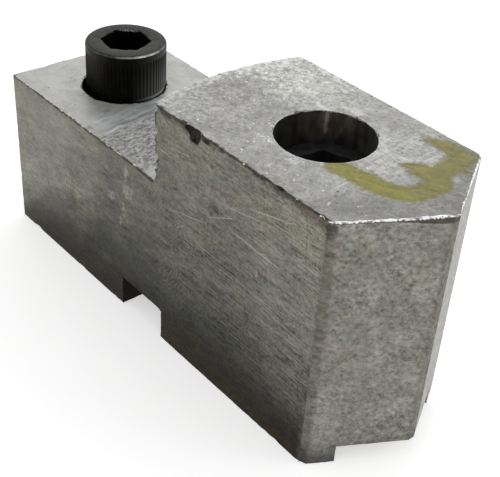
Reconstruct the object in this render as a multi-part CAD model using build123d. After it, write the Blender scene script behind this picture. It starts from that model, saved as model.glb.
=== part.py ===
from build123d import *
import math
import os

# A soft top jaw for a lathe chuck, with its two cap screws standing in their holes.
# X runs from the rear face to the tip, Y across the width, Z up.
# The origin is in the middle of the underside. Sizes are in millimetres.

# Jaw block
jaw_length = 119.7
jaw_width = 39.0
jaw_height = 58.5
tip_angle = 120.0
tip_bevel = 0.85
edge_bevel = 0.4

# Turned step behind the tall part, with a wall that curves towards the rear
step_height = 40.5
step_wall_radius = 59.0
step_wall_centre_from_rear = 114.0
step_corner_radius = 0.6

# Cap screws, with standard metric threads
thread_diameter = 12.0
screw_length = 40.0
thread_tip_bevel = 1.0
head_diameter = 19.0
head_height = 12.0
head_top_bevel = 0.8
head_top_band = 1.8
head_bottom_band = 1.4
head_bottom_bevel = 0.5
knurl_depth = 0.3
knurl_count = 64
socket_width = 10.4
socket_depth = 6.0
socket_mouth_bevel = 0.3
socket_floor_angle = 120.0

# Screw holes
rear_hole_from_rear = 18.7
hole_spacing = 68.0
hole_clearance = 1.5
counterbore_clearance = 1.2
counterbore_floor_height = 24.0
hole_rim_bevel = 0.2

# How each loose screw stands in its hole: the gap left at the wall, the side it leans to,
# and how far it is turned, in degrees from the X axis
screw_wall_gap = 0.1
rear_screw_side = 47.0
rear_screw_turn = 50.0
front_screw_side = 20.0
front_screw_turn = 80.0

# Underside
channel_width = 27.4
channel_depth = 4.2
cross_slot_width = 15.0
cross_slot_depth = 7.8
cross_slot_from_rear = 53.4

# How far a cutting tool runs past the metal
overrun = 2.0

half_tip_angle = math.radians(tip_angle / 2)
rear_face = -jaw_length / 2
tip = jaw_length / 2
sharp_tip = tip + tip_bevel * math.cos(half_tip_angle)
side_face = jaw_width / 2
shoulder = sharp_tip - side_face / math.tan(half_tip_angle)
rear_hole = rear_face + rear_hole_from_rear
front_hole = rear_hole + hole_spacing
hole_diameter = thread_diameter + hole_clearance
counterbore_diameter = head_diameter + counterbore_clearance
screw_play = min(hole_clearance, counterbore_clearance) / 2 - screw_wall_gap


def block():
    """The bar, pointed at the tip, with its outer edges broken."""
    outline = Polyline(
        (rear_face, -side_face),
        (shoulder, -side_face),
        (sharp_tip, 0),
        (shoulder, side_face),
        (rear_face, side_face),
        close=True,
    )
    plan = make_face(outline)
    pointed = plan.vertices().filter_by(lambda corner: corner.X > 0)
    plan = chamfer(pointed, tip_bevel)
    square = plan.vertices().group_by(Axis.X)[0]
    plan = chamfer(square, edge_bevel)
    bar = extrude(plan, jaw_height)
    rims = bar.faces().sort_by(Axis.Z)[0].edges() + bar.faces().sort_by(Axis.Z)[-1].edges()
    return chamfer(rims, edge_bevel)


def step_waste():
    """What the step's turning takes away, down to a curved wall with a small inner radius."""
    wall_centre = rear_face + step_wall_centre_from_rear
    reach = step_wall_centre_from_rear + overrun
    depth = jaw_height - step_height + overrun
    slab = Pos(wall_centre - reach / 2, 0, step_height + depth / 2) * Box(reach, jaw_width + 2 * overrun, depth)
    wall = Pos(wall_centre, 0, step_height + depth / 2) * Cylinder(step_wall_radius, depth)
    waste = slab - wall
    inner_edge = waste.edges().filter_by(GeomType.CIRCLE).sort_by(Axis.Z)[0]
    return fillet(inner_edge, step_corner_radius)


def upper_rim_bevel():
    """A ring that breaks the top edge of the curved wall."""
    wall_centre = rear_face + step_wall_centre_from_rear
    outer = step_wall_radius + edge_bevel
    keep = Pos(wall_centre, 0, jaw_height - edge_bevel / 2) * Cone(
        step_wall_radius, step_wall_radius - edge_bevel, edge_bevel
    )
    around = Pos(wall_centre, 0, jaw_height - edge_bevel / 2) * Cylinder(outer, edge_bevel)
    behind = Pos(wall_centre - outer / 2, 0, jaw_height) * Box(outer, 2 * outer, 2 * edge_bevel)
    return (around - keep) & behind


def screw_hole(centre, mouth_height):
    """One counterbored hole, from the underside up to its mouth, with its rims broken."""
    counterbore_depth = mouth_height - counterbore_floor_height + overrun
    through_radius = hole_diameter / 2
    wide_radius = counterbore_diameter / 2
    through_height = counterbore_floor_height + 2 * overrun
    through = Pos(0, 0, through_height / 2 - overrun) * Cylinder(through_radius, through_height)
    wide = Pos(0, 0, counterbore_floor_height + counterbore_depth / 2) * Cylinder(wide_radius, counterbore_depth)
    upper_rim = Pos(0, 0, mouth_height - hole_rim_bevel / 2) * Cone(
        wide_radius, wide_radius + hole_rim_bevel, hole_rim_bevel
    )
    lower_rim = Pos(0, 0, channel_depth + hole_rim_bevel / 2) * Cone(
        through_radius + hole_rim_bevel, through_radius, hole_rim_bevel
    )
    return Pos(centre, 0, 0) * (through + wide + upper_rim + lower_rim)


def underside_channel():
    """The wide shallow channel along the whole underside."""
    length = jaw_length + 2 * overrun
    height = channel_depth + overrun
    return Pos(0, 0, channel_depth - height / 2) * Box(length, channel_width, height)


def cross_slot():
    """The slot across the underside that takes the carrier's key."""
    height = cross_slot_depth + overrun
    centre = rear_face + cross_slot_from_rear
    return Pos(centre, 0, cross_slot_depth - height / 2) * Box(cross_slot_width, jaw_width + 2 * overrun, height)


def jaw_body():
    """The jaw, as it is machined from the bar."""
    body = block() - step_waste() - upper_rim_bevel()
    body = body - underside_channel() - cross_slot()
    body = body - screw_hole(rear_hole, step_height)
    return body - screw_hole(front_hole, jaw_height)


def hexagon(width):
    """A hexagon across its flats, with two corners along X."""
    return RegularPolygon(width / 2, 6, major_radius=False, rotation=0)


def screw_socket():
    """The hexagon socket, with its cone-shaped floor and the bevel at its mouth."""
    top = screw_length + head_height
    corner_radius = socket_width / 2 / math.cos(math.radians(30))
    cone_height = socket_width / 2 / math.tan(math.radians(socket_floor_angle / 2))
    walls = Pos(0, 0, top - socket_depth) * extrude(hexagon(socket_width), socket_depth)
    floor = Pos(0, 0, top - socket_depth - cone_height / 2) * Cone(0, socket_width / 2, cone_height)
    mouth = Pos(0, 0, top - socket_mouth_bevel / 2) * Cone(
        corner_radius - socket_mouth_bevel, corner_radius, socket_mouth_bevel
    )
    return walls + floor + mouth


def knurl():
    """The fluted band of the head, as a many-pointed star pulled upwards."""
    crest = head_diameter / 2
    root = crest - knurl_depth
    points = []
    for flute in range(knurl_count):
        angle = 2 * math.pi * flute / knurl_count
        half_step = math.pi / knurl_count
        points.append((crest * math.cos(angle), crest * math.sin(angle)))
        points.append((root * math.cos(angle + half_step), root * math.sin(angle + half_step)))
    star = make_face(Polyline(*points, close=True))
    height = head_height - head_top_band - head_bottom_band
    return Pos(0, 0, screw_length + head_bottom_band) * extrude(star, height)


def cap_screw():
    """One cap screw, standing on its tip."""
    thread_radius = thread_diameter / 2
    crest = head_diameter / 2
    plain = crest - knurl_depth
    under_head = screw_length
    head_top = under_head + head_height
    half_section = Polyline(
        (0, 0),
        (thread_radius - thread_tip_bevel, 0),
        (thread_radius, thread_tip_bevel),
        (thread_radius, under_head),
        (plain - head_bottom_bevel, under_head),
        (plain, under_head + head_bottom_bevel),
        (plain, head_top - head_top_band),
        (crest, head_top - head_top_band),
        (crest, head_top - head_top_bevel),
        (crest - head_top_bevel, head_top),
        (0, head_top),
        close=True,
    )
    turned = revolve(make_face(Plane.XZ * half_section), Axis.Z)
    return turned + knurl() - screw_socket()


def stand_screw(hole, side, turn):
    """A screw standing loose in its hole, over to one side as far as the hole lets it."""
    angle = math.radians(side)
    place = Pos(hole + screw_play * math.cos(angle), screw_play * math.sin(angle), 0)
    return place * Rot(0, 0, turn) * cap_screw()


pieces = {
    "jaw_body": jaw_body(),
    "rear_cap_screw": stand_screw(rear_hole, rear_screw_side, rear_screw_turn),
    "front_cap_screw": stand_screw(front_hole, front_screw_side, front_screw_turn),
}

os.makedirs("parts", exist_ok=True)
for name, piece in pieces.items():
    export_step(piece, f"parts/{name}.step")
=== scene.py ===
import math
import random

import bmesh
import bpy
import numpy as np
from mathutils import Matrix, Vector, kdtree, noise


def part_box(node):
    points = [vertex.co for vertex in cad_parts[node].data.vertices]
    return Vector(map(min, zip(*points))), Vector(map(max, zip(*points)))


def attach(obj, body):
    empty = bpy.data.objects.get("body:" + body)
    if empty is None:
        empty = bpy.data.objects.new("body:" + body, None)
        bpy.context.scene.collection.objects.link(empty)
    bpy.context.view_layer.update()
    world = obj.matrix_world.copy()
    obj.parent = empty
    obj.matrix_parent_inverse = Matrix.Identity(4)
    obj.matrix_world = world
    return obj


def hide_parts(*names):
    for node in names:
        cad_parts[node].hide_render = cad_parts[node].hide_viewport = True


# A worn soft top jaw of light metal with its two blackened cap screws, on a pale floor.
# Shapes are made in millimetres, in the frame's own axes, and scaled to metres at the end.

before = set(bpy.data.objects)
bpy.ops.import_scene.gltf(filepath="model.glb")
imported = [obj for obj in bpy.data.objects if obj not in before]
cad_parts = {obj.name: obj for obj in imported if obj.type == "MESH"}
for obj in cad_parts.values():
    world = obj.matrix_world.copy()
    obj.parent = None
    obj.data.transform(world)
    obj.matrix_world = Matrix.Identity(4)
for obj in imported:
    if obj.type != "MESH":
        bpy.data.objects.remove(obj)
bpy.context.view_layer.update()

MILLIMETRE = 0.001
jaw_low, jaw_high = (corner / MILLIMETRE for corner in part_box("jaw_body"))

# Jaw block
rear_face = jaw_low.x
tip = jaw_high.x
side_face = jaw_high.y
top_face = jaw_high.z
tip_angle = math.radians(120.0)
tip_bevel = 0.85
sharp_tip = tip + tip_bevel * math.cos(tip_angle / 2)
shoulder = sharp_tip - side_face / math.tan(tip_angle / 2)

# Turned step
step_height = 40.5
wall_radius = 59.0
wall_centre = rear_face + 114.0
tall_start = wall_centre - math.sqrt(wall_radius**2 - side_face**2)
smooth_ring_radius = 62.5
rough_ring_outside = 78.8

# Screw holes
rear_hole = rear_face + 18.7
front_hole = rear_hole + 68.0
hole_radius = 6.75
counterbore_radius = 10.1
counterbore_floor = 24.0

# The chip knocked out of the near top edge
chip_centre = Vector((10.8, -side_face - 0.3, top_face - 0.6))
chip_size = (3.1, 1.0, 2.2)
chip_turn = 0.5
chip_seed = 3

# Rows of small nicks along the near edges: X and Z of both ends, how many, and the deepest one's depth
nick_rows = [
    ((tall_start, step_height + 1), (tall_start, top_face), 9, 0.8),
    ((tall_start, top_face), (8, top_face), 6, 0.35),
    ((16, top_face), (shoulder, top_face), 14, 0.35),
    ((rear_face + 2, step_height), (tall_start, step_height), 10, 0.3),
]
nick_zone = 2.0
nick_grid_spacing = 0.4

# Underside
channel_half_width = 13.7
channel_depth = 4.2
cross_slot_start = rear_face + 45.9
cross_slot_end = cross_slot_start + 15.0
cross_slot_depth = 7.8

# Cap screws
thread_radius = 5.95
thread_pitch = 1.75
thread_groove = 1.05
thread_length = 36.0
under_head = 40.0
head_top = 52.0
head_radius = 9.5
flute_count = 64
flute_depth = 0.32
flutes_start = 41.4
flutes_end = 50.0
socket_half_width = 5.2
socket_floor = 46.0
socket_mouth_radius = 5.5
socket_lip = 0.04
cone_slope = math.tan(math.radians(60))

# Wear on the jaw's edges
edge_rounding = 0.32
edge_sample_gap = 0.25
dent_count = 420
grid_spacing = 1.2
paint_grid_spacing = 0.5

# The paint daub's brush strokes on the top face: places along each, with the stroke's half width
brush_strokes = [
    [(36.2, -6.2, 2.3), (41.3, -5.4, 2.5), (45.0, -5.0, 2.6), (48.5, -3.9, 2.5), (51.0, -1.6, 2.4)],
    [(51.0, -1.6, 2.4), (51.6, 1.6, 2.4), (51.4, 4.3, 2.7), (49.6, 6.0, 2.7)],
    [(43.0, 4.6, 0.9), (45.9, 5.7, 2.5), (49.6, 6.0, 2.8)],
    [(49.0, 6.5, 2.6), (48.4, 10.5, 2.4), (48.2, 14.0, 2.4)],
    [(39.4, 15.2, 1.0), (43.0, 16.4, 2.1), (47.6, 16.0, 2.5)],
    [(48.6, 11.6, 1.0), (51.4, 11.8, 0.8)],
]

# How much of the jaw's and the screws' look is bare metal, under their skin of oil and dirt
METAL_SHARE = 0.7

# The dirt on the jaw's outer faces
DIRT = (0.045, 0.036, 0.026)


# Mesh tools

def prism(outline, low, high):
    """A closed solid with an upright outline, which runs anticlockwise, between two heights."""
    shape = bmesh.new()
    floor = [shape.verts.new((x, y, low)) for x, y in outline]
    roof = [shape.verts.new((x, y, high)) for x, y in outline]
    shape.faces.new(list(reversed(floor)))
    shape.faces.new(roof)
    for corner in range(len(outline)):
        following = (corner + 1) % len(outline)
        shape.faces.new((floor[corner], floor[following], roof[following], roof[corner]))
    return shape


def rectangle(low_x, low_y, high_x, high_y):
    return [(low_x, low_y), (high_x, low_y), (high_x, high_y), (low_x, high_y)]


def circle(centre, radius, count=96):
    turns = [2 * math.pi * step / count for step in range(count)]
    return [(centre + radius * math.cos(turn), radius * math.sin(turn)) for turn in turns]


def loose_object(name, shape):
    """Turns a bmesh into an object in the scene."""
    mesh = bpy.data.meshes.new(name)
    shape.to_mesh(mesh)
    shape.free()
    made = bpy.data.objects.new(name, mesh)
    bpy.context.scene.collection.objects.link(made)
    return made


def carve(block, waste_shape):
    """Takes a closed shape out of a block."""
    waste = loose_object("waste", waste_shape)
    carving = block.modifiers.new("carving", "BOOLEAN")
    carving.operation = "DIFFERENCE"
    carving.solver = "EXACT"
    carving.object = waste
    carved = bpy.data.meshes.new_from_object(block.evaluated_get(bpy.context.evaluated_depsgraph_get()))
    block.modifiers.clear()
    block.data = carved
    bpy.data.objects.remove(waste)


def slice_along(shape, faces, axis, spacing):
    """Cuts faces across an axis at even steps, so that wear and paint have points to hold on to."""
    direction = Vector((0, 0, 0))
    direction[axis] = 1
    places = [vert.co[axis] for face in faces for vert in face.verts]
    first = math.floor(min(places) / spacing) + 1
    last = math.ceil(max(places) / spacing)
    pieces = set(faces)
    for step in range(first, last):
        edges = {edge for face in pieces for edge in face.edges}
        verts = {vert for face in pieces for vert in face.verts}
        cut = bmesh.ops.bisect_plane(
            shape,
            geom=list(pieces) + list(edges) + list(verts),
            dist=0.001,
            plane_co=direction * (step * spacing),
            plane_no=direction,
        )
        pieces = {item for item in cut["geom"] if isinstance(item, bmesh.types.BMFace)}
    return pieces


# The jaw's shape

def jaw_outline():
    """The bar's plan, pointed at the tip, with the three upright corners there cut flat."""
    along = Vector((math.cos(tip_angle / 2), math.sin(tip_angle / 2)))
    near_shoulder = Vector((shoulder, -side_face))
    near = [
        near_shoulder - Vector((tip_bevel, 0)),
        near_shoulder + tip_bevel * along,
        Vector((sharp_tip, 0)) - tip_bevel * along,
    ]
    far = [(place.x, -place.y) for place in reversed(near)]
    return [(rear_face, -side_face)] + [tuple(place) for place in near] + far + [(rear_face, side_face)]


def step_waste():
    """What the turning of the step takes away, up to the curved wall."""
    beyond = side_face + 2
    reach = math.asin(beyond / wall_radius)
    count = 72
    bends = [reach - 2 * reach * step / count for step in range(count + 1)]
    wall = [(wall_centre - wall_radius * math.cos(bend), -wall_radius * math.sin(bend)) for bend in bends]
    corners = [(rear_face - 2, beyond), (rear_face - 2, -beyond)]
    return prism(corners + wall, step_height, top_face + 2)


def chip_waste():
    """A small rough lump that knocks the chip out of the edge."""
    shape = bmesh.new()
    bmesh.ops.create_icosphere(shape, subdivisions=3, radius=1)
    for vert in shape.verts:
        vert.co *= 1 + 0.35 * noise.noise(vert.co * 1.7 + Vector((chip_seed, 0, 0)))
    turned = Matrix.Rotation(chip_turn, 4, "Y")
    place = Matrix.Translation(chip_centre) @ turned @ Matrix.Diagonal((*chip_size, 1))
    bmesh.ops.transform(shape, matrix=place, verts=shape.verts)
    return shape


def near_nicks(place):
    """Whether a place lies close to one of the edges with rows of nicks."""
    if place.y > -side_face + nick_zone:
        return False
    along_step = place.x < tall_start and abs(place.z - step_height) < nick_zone
    along_top = place.x > tall_start - 0.5 and place.z > top_face - nick_zone
    up_wall = tall_start - 0.5 < place.x < tall_start + nick_zone and place.z > step_height
    return along_step or along_top or up_wall


def knock_nicks(shape, samples, tree):
    """Pushes small nicks into the near edges and writes each point's depth down for the finishes."""
    rng = random.Random(5)
    nicks = []
    for (start_x, start_z), (end_x, end_z), count, deepest in nick_rows:
        start = Vector((start_x, -side_face, start_z))
        end = Vector((end_x, -side_face, end_z))
        for _ in range(count):
            middle = start.lerp(end, rng.random())
            depth = deepest * (0.2 + 0.8 * rng.random() ** 1.5)
            nicks.append((*middle, 0.5 + rng.uniform(0.8, 1.4) * depth, depth))
    nicks = np.array(nicks)
    nick_depth = shape.verts.layers.float["nick_depth"]
    for vert in shape.verts:
        if not near_nicks(vert.co):
            continue
        gaps = np.linalg.norm(nicks[:, :3] - np.array(vert.co), axis=1) / nicks[:, 3]
        gaps *= 1 + 0.5 * noise.noise(vert.co * 1.3)
        depth = float((nicks[:, 4] * np.clip(1.3 - 1.3 * gaps, 0, 1)).max())
        if depth > 0:
            _, index, _ = tree.find(vert.co)
            vert.co -= depth * samples[index][1]
            vert[nick_depth] = depth


def bruise_tip(shape):
    """Takes a slant off the near slanted face's top edge, which deepens from half way along to the tip."""
    length = 11.0
    depth = 1.1
    along = Vector((math.cos(tip_angle / 2), math.sin(tip_angle / 2), 0))
    outwards = Vector((along.y, -along.x, 0))
    start = Vector((sharp_tip, 0, top_face)) - length * along
    up_share = 0.4
    normal = (outwards + up_share * Vector((0, 0, 1)) + up_share * depth / length * along).normalized()
    cut = bmesh.ops.bisect_plane(
        shape,
        geom=shape.verts[:] + shape.edges[:] + shape.faces[:],
        dist=0.0005,
        plane_co=start,
        plane_no=normal,
        clear_outer=True,
    )
    rim = [item for item in cut["geom_cut"] if isinstance(item, bmesh.types.BMEdge)]
    bmesh.ops.edgeloop_fill(shape, edges=rim)


def sharp_edges(shape):
    return [edge for edge in shape.edges if edge.is_manifold and edge.calc_face_angle() > math.radians(18)]


def edge_samples(shape):
    """Points along every sharp edge, each with the way out of the metal and how much wear the edge takes."""
    samples = []
    for edge in sharp_edges(shape):
        start, end = (vert.co.copy() for vert in edge.verts)
        outwards = (edge.link_faces[0].normal + edge.link_faces[1].normal).normalized()
        wear = min(1, 2 * edge.calc_face_angle() / math.pi) ** 2
        count = max(1, round((end - start).length / edge_sample_gap))
        for step in range(count):
            samples.append((start.lerp(end, (step + 0.5) / count), outwards, wear))
    return samples


def sample_tree(samples):
    """What finds the edge sample nearest to a place."""
    tree = kdtree.KDTree(len(samples))
    for index, (place, _, _) in enumerate(samples):
        tree.insert(place, index)
    tree.balance()
    return tree


def wear_edges(shape, samples, rounded):
    """Pushes the rounded edges in unevenly, with small dents here and there. The flat faces stay flat."""
    rng = random.Random(7)
    tree = sample_tree(samples)
    dents = []
    for _ in range(dent_count):
        place, _, _ = samples[rng.randrange(len(samples))]
        depth = 0.1 + 0.5 * rng.random() ** 3
        if place.x > shoulder - 2 and 1 < place.z < top_face - 1:
            depth *= 0.15
        dents.append((*place, rng.uniform(0.5, 1.2) + 1.6 * depth, depth))
    dents = np.array(dents)
    verts = [vert for vert in shape.verts if any(face[rounded] for face in vert.link_faces)]
    moves = []
    for vert in verts:
        _, index, _ = tree.find(vert.co)
        _, outwards, wear = samples[index]
        inwards = -wear * outwards
        flats = [face.normal.copy() for face in vert.link_faces if not face[rounded]]
        for normal in flats:
            inwards -= inwards.dot(normal) * normal
        gaps = np.linalg.norm(dents[:, :3] - np.array(vert.co), axis=1) / dents[:, 3]
        dent = float((dents[:, 4] * np.clip(1 - gaps**2, 0, 1) ** 2).max())
        uneven = 0.10 * (noise.noise(vert.co * 0.35) + 0.6) + 0.07 * (noise.noise(vert.co * 1.6) + 0.4)
        moves.append(inwards * max(0, uneven + dent))
    for vert, move in zip(verts, moves):
        vert.co += move
    knock_nicks(shape, samples, tree)
    for vert in verts:
        vert.co.x = max(rear_face, min(tip, vert.co.x))
        vert.co.y = max(-side_face, min(side_face, vert.co.y))
        vert.co.z = max(0, min(top_face, vert.co.z))


def stroke_gap(x, y):
    """How far a place on the top face lies outside the painted strokes. It is negative inside them."""
    nearest = math.inf
    place = Vector((x, y))
    for stroke in brush_strokes:
        for (ax, ay, a_width), (bx, by, b_width) in zip(stroke, stroke[1:]):
            start = Vector((ax, ay))
            run = Vector((bx, by)) - start
            share = max(0, min(1, (place - start).dot(run) / run.length_squared))
            gap = (place - start - share * run).length - (a_width + share * (b_width - a_width))
            nearest = min(nearest, gap)
    return nearest


def jaw_region(face):
    """Which finish a face of the jaw takes, by where it lies and which way it looks."""
    centre = face.calc_center_median()
    normal = face.normal
    for hole in (rear_hole, front_hole):
        in_hole = math.hypot(centre.x - hole, centre.y) < counterbore_radius + 0.05
        if in_hole and centre.z > channel_depth + 0.5:
            if abs(normal.z) < 0.6 or centre.z < counterbore_floor + 1:
                return "bore"
    in_slot = cross_slot_start - 0.1 < centre.x < cross_slot_end + 0.1 and centre.z < cross_slot_depth + 0.1
    in_channel = abs(centre.y) < channel_half_width + 0.1 and centre.z < channel_depth + 0.1
    outside = abs(normal.y) > 0.9 and abs(centre.y) > side_face - 0.1
    slot_wall = in_slot and abs(normal.x) > 0.7
    channel_wall = in_channel and abs(normal.y) > 0.7 and not outside
    if normal.z < -0.7 or slot_wall or channel_wall:
        return "underside"
    in_chip = (centre - chip_centre).length < 1.5 * chip_size[0] and centre.z < top_face - 0.02
    if in_chip and centre.y > -side_face + 0.02 and normal.z < 0.97:
        return "side"
    if normal.z > 0.6:
        return "top" if centre.z > step_height + 5 else "step"
    if centre.z > step_height and normal.x < -0.5 and centre.x > rear_face + 10:
        return "step"
    if normal.x > 0.3:
        return "slanted"
    if normal.x < -0.7:
        return "rear"
    return "side"


def may_be_painted(face):
    """Whether a face lies on the part of the top face that the paint reaches."""
    centre = face.calc_center_median()
    on_top = face.normal.z > 0.99 and centre.z > top_face - 0.1
    return on_top and centre.x > 31 and abs(centre.y - 5) < 16


def jaw_mesh():
    """The jaw with every cut, its worn edges and the values that its finishes need."""
    block = loose_object("block", prism(jaw_outline(), 0, top_face))
    carve(block, step_waste())
    over = 2
    channel = rectangle(rear_face - over, -channel_half_width, tip + over, channel_half_width)
    carve(block, prism(channel, -over, channel_depth))
    slot = rectangle(cross_slot_start, -side_face - over, cross_slot_end, side_face + over)
    carve(block, prism(slot, -over, cross_slot_depth))
    for hole in (rear_hole, front_hole):
        carve(block, prism(circle(hole, hole_radius, 72), -over, top_face + over))
        carve(block, prism(circle(hole, counterbore_radius, 120), counterbore_floor, top_face + over))
    carve(block, chip_waste())

    shape = bmesh.new()
    shape.from_mesh(block.data)
    bpy.data.objects.remove(block)
    bmesh.ops.remove_doubles(shape, verts=shape.verts, dist=0.002)
    bruise_tip(shape)
    shape.normal_update()
    samples = edge_samples(shape)
    shape.faces.layers.int.new("rounded")
    shape.verts.layers.float.new("nick_depth")
    bevel = bmesh.ops.bevel(
        shape,
        geom=sharp_edges(shape),
        offset=edge_rounding,
        offset_type="OFFSET",
        segments=3,
        profile=0.5,
        affect="EDGES",
        clamp_overlap=True,
    )
    rounded = shape.faces.layers.int["rounded"]
    for face in bevel["faces"]:
        face[rounded] = 1
    for axis in range(3):
        slice_along(shape, shape.faces[:], axis, grid_spacing)
    painted = [face for face in shape.faces if may_be_painted(face)]
    painted = slice_along(shape, painted, 0, paint_grid_spacing)
    slice_along(shape, list(painted), 1, paint_grid_spacing)
    coarse = [
        edge for edge in shape.edges
        if edge.calc_length() > 0.6 and any(face[rounded] for face in edge.link_faces)
    ]
    bmesh.ops.subdivide_edges(shape, edges=coarse, cuts=2)
    knocked = [face for face in shape.faces if near_nicks(face.calc_center_median())]
    for axis in range(3):
        knocked = slice_along(shape, list(knocked), axis, nick_grid_spacing)
    shape.normal_update()
    wear_edges(shape, samples, rounded)
    shape.normal_update()
    return shape, samples


def jaw():
    """The jaw's object, where edge_gap and paint_gap say how far a point lies from an edge and from paint."""
    shape, samples = jaw_mesh()
    shape.faces.ensure_lookup_table()
    regions = [jaw_region(face) for face in shape.faces]
    tree = sample_tree(samples)
    edge_gaps = [tree.find(vert.co)[2] for vert in shape.verts]
    paint_gaps = [
        stroke_gap(vert.co.x, vert.co.y) if vert.co.z > top_face - 2 and vert.co.x > 25 else 20.0
        for vert in shape.verts
    ]
    made = loose_object("worn_jaw", shape)
    mesh = made.data
    for name, values in (("edge_gap", edge_gaps), ("paint_gap", paint_gaps)):
        mesh.attributes.new(name, "FLOAT", "POINT").data.foreach_set("value", values)
    finishes = {
        "top": top_finish(),
        "step": step_finish(),
        "side": side_finish(),
        "rear": rear_finish(),
        "slanted": slanted_finish(),
        "bore": bore_finish(),
        "underside": underside_finish(),
    }
    mesh.materials.clear()
    for finish in finishes.values():
        mesh.materials.append(finish)
    slots = list(finishes)
    mesh.polygons.foreach_set("material_index", [slots.index(region) for region in regions])
    settle(made)
    return made


def settle(made):
    """Scales a finished mesh to metres and shades it smoothly, with its flat faces kept flat."""
    made.data.transform(Matrix.Scale(MILLIMETRE, 4))
    made.data.shade_smooth()
    made.data.set_sharp_from_angle(angle=math.radians(50))
    even = made.modifiers.new("even_shading", "WEIGHTED_NORMAL")
    even.keep_sharp = True


# The cap screws' shape

def ring(shape, count, place):
    """A closed row of points round the axis. place gives the radius and the height for each turn."""
    row = []
    for step in range(count):
        turn = 2 * math.pi * step / count
        radius, height = place(turn)
        row.append(shape.verts.new((radius * math.cos(turn), radius * math.sin(turn), height)))
    return row


def join_rings(shape, first, second):
    """Faces between two rows, where the second may have several points for each of the first."""
    share = len(second) // len(first)
    for step in range(len(first)):
        following = (step + 1) % len(first)
        across = [second[(step * share + part) % len(second)] for part in range(share, -1, -1)]
        shape.faces.new([first[step], first[following]] + across)


def thread_place(height):
    """Places round the thread at a height: a right-hand ridge that fades out at the tip and near the head."""
    def place(turn):
        phase = (height / thread_pitch - turn / (2 * math.pi)) % 1
        groove = max(0, min(1, 1.3 * (1 - abs(2 * phase - 1)) - 0.15))
        fade = max(0, min(1, (thread_length - height) / thread_pitch))
        radius = thread_radius - thread_groove * groove * fade
        return min(radius, thread_radius - 1 + height), height
    return place


def flute_place(height, depth):
    """Places round the fluted band of the head."""
    def place(turn):
        return head_radius - depth * (0.5 - 0.5 * math.cos(flute_count * turn)), height
    return place


def round_place(radius, height):
    return lambda turn: (radius, height)


def hexagon_radius(turn):
    """The radius of the socket's hexagon, which has a corner at turn 0."""
    sixth = math.pi / 3
    return socket_half_width / math.cos(turn % sixth - sixth / 2)


def mouth_radius(turn):
    """The radius of the socket's mouth: the cone's, or a little more than the hexagon's at its corners."""
    return max(socket_mouth_radius, hexagon_radius(turn) + 0.05)


def mouth_place(turn):
    """Where the socket's flats run out into the cone turned at its mouth."""
    radius = hexagon_radius(turn)
    return radius, head_top - socket_lip - (mouth_radius(turn) - radius) / cone_slope


def screw_mesh():
    """One screw from its tip to the floor of its socket, as rows of points round its axis."""
    shape = bmesh.new()
    thread_columns = 96
    head_columns = flute_count * 6
    thread_rows = round(thread_length / thread_pitch * 8)
    rows = [
        ring(shape, thread_columns, thread_place(thread_length * step / thread_rows))
        for step in range(thread_rows + 1)
    ]
    rows.append(ring(shape, thread_columns, round_place(thread_radius, under_head - 0.6)))
    rows.append(ring(shape, thread_columns, round_place(thread_radius + 0.15, under_head - 0.15)))
    rows.append(ring(shape, thread_columns, round_place(thread_radius + 0.5, under_head)))
    root_radius = head_radius - flute_depth
    rim_rounding = 0.8
    lower_head = [
        round_place(root_radius - 0.5, under_head),
        round_place(root_radius - 0.12, under_head + 0.13),
        round_place(root_radius, under_head + 0.5),
        round_place(root_radius, flutes_start - 0.25),
        flute_place(flutes_start, flute_depth),
        flute_place(flutes_start + 0.4, flute_depth),
        flute_place(flutes_end - 0.5, flute_depth),
        flute_place(flutes_end - 0.1, flute_depth * 0.6),
        round_place(head_radius, flutes_end + 0.2),
    ]
    rounding = []
    for step in range(7):
        bend = math.pi / 2 * step / 6
        radius = head_radius - rim_rounding + rim_rounding * math.cos(bend)
        rounding.append(round_place(radius, head_top - rim_rounding + rim_rounding * math.sin(bend)))
    socket = [
        lambda turn: (mouth_radius(turn) + 0.12, head_top),
        lambda turn: (mouth_radius(turn), head_top - socket_lip),
        mouth_place,
        lambda turn: (hexagon_radius(turn), socket_floor),
        round_place(socket_half_width - 0.1, socket_floor - 0.05),
    ]
    rows += [ring(shape, head_columns, place) for place in lower_head + rounding + socket]
    for first, second in zip(rows, rows[1:]):
        join_rings(shape, first, second)
    shape.faces.new(list(reversed(rows[0])))
    bottom = shape.verts.new((0, 0, socket_floor - socket_half_width / cone_slope))
    last = rows[-1]
    for step in range(len(last)):
        shape.faces.new((last[step], last[(step + 1) % len(last)], bottom))
    shape.normal_update()
    return shape


def cap_screw(node, turn, finish):
    """One screw's object, standing where the frame has it."""
    low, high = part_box(node)
    made = loose_object("blackened_" + node, screw_mesh())
    made.data.materials.append(finish)
    settle(made)
    made.location = ((low.x + high.x) / 2, (low.y + high.y) / 2, 0)
    made.rotation_euler.z = math.radians(turn)
    return made


# Node tools

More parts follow.
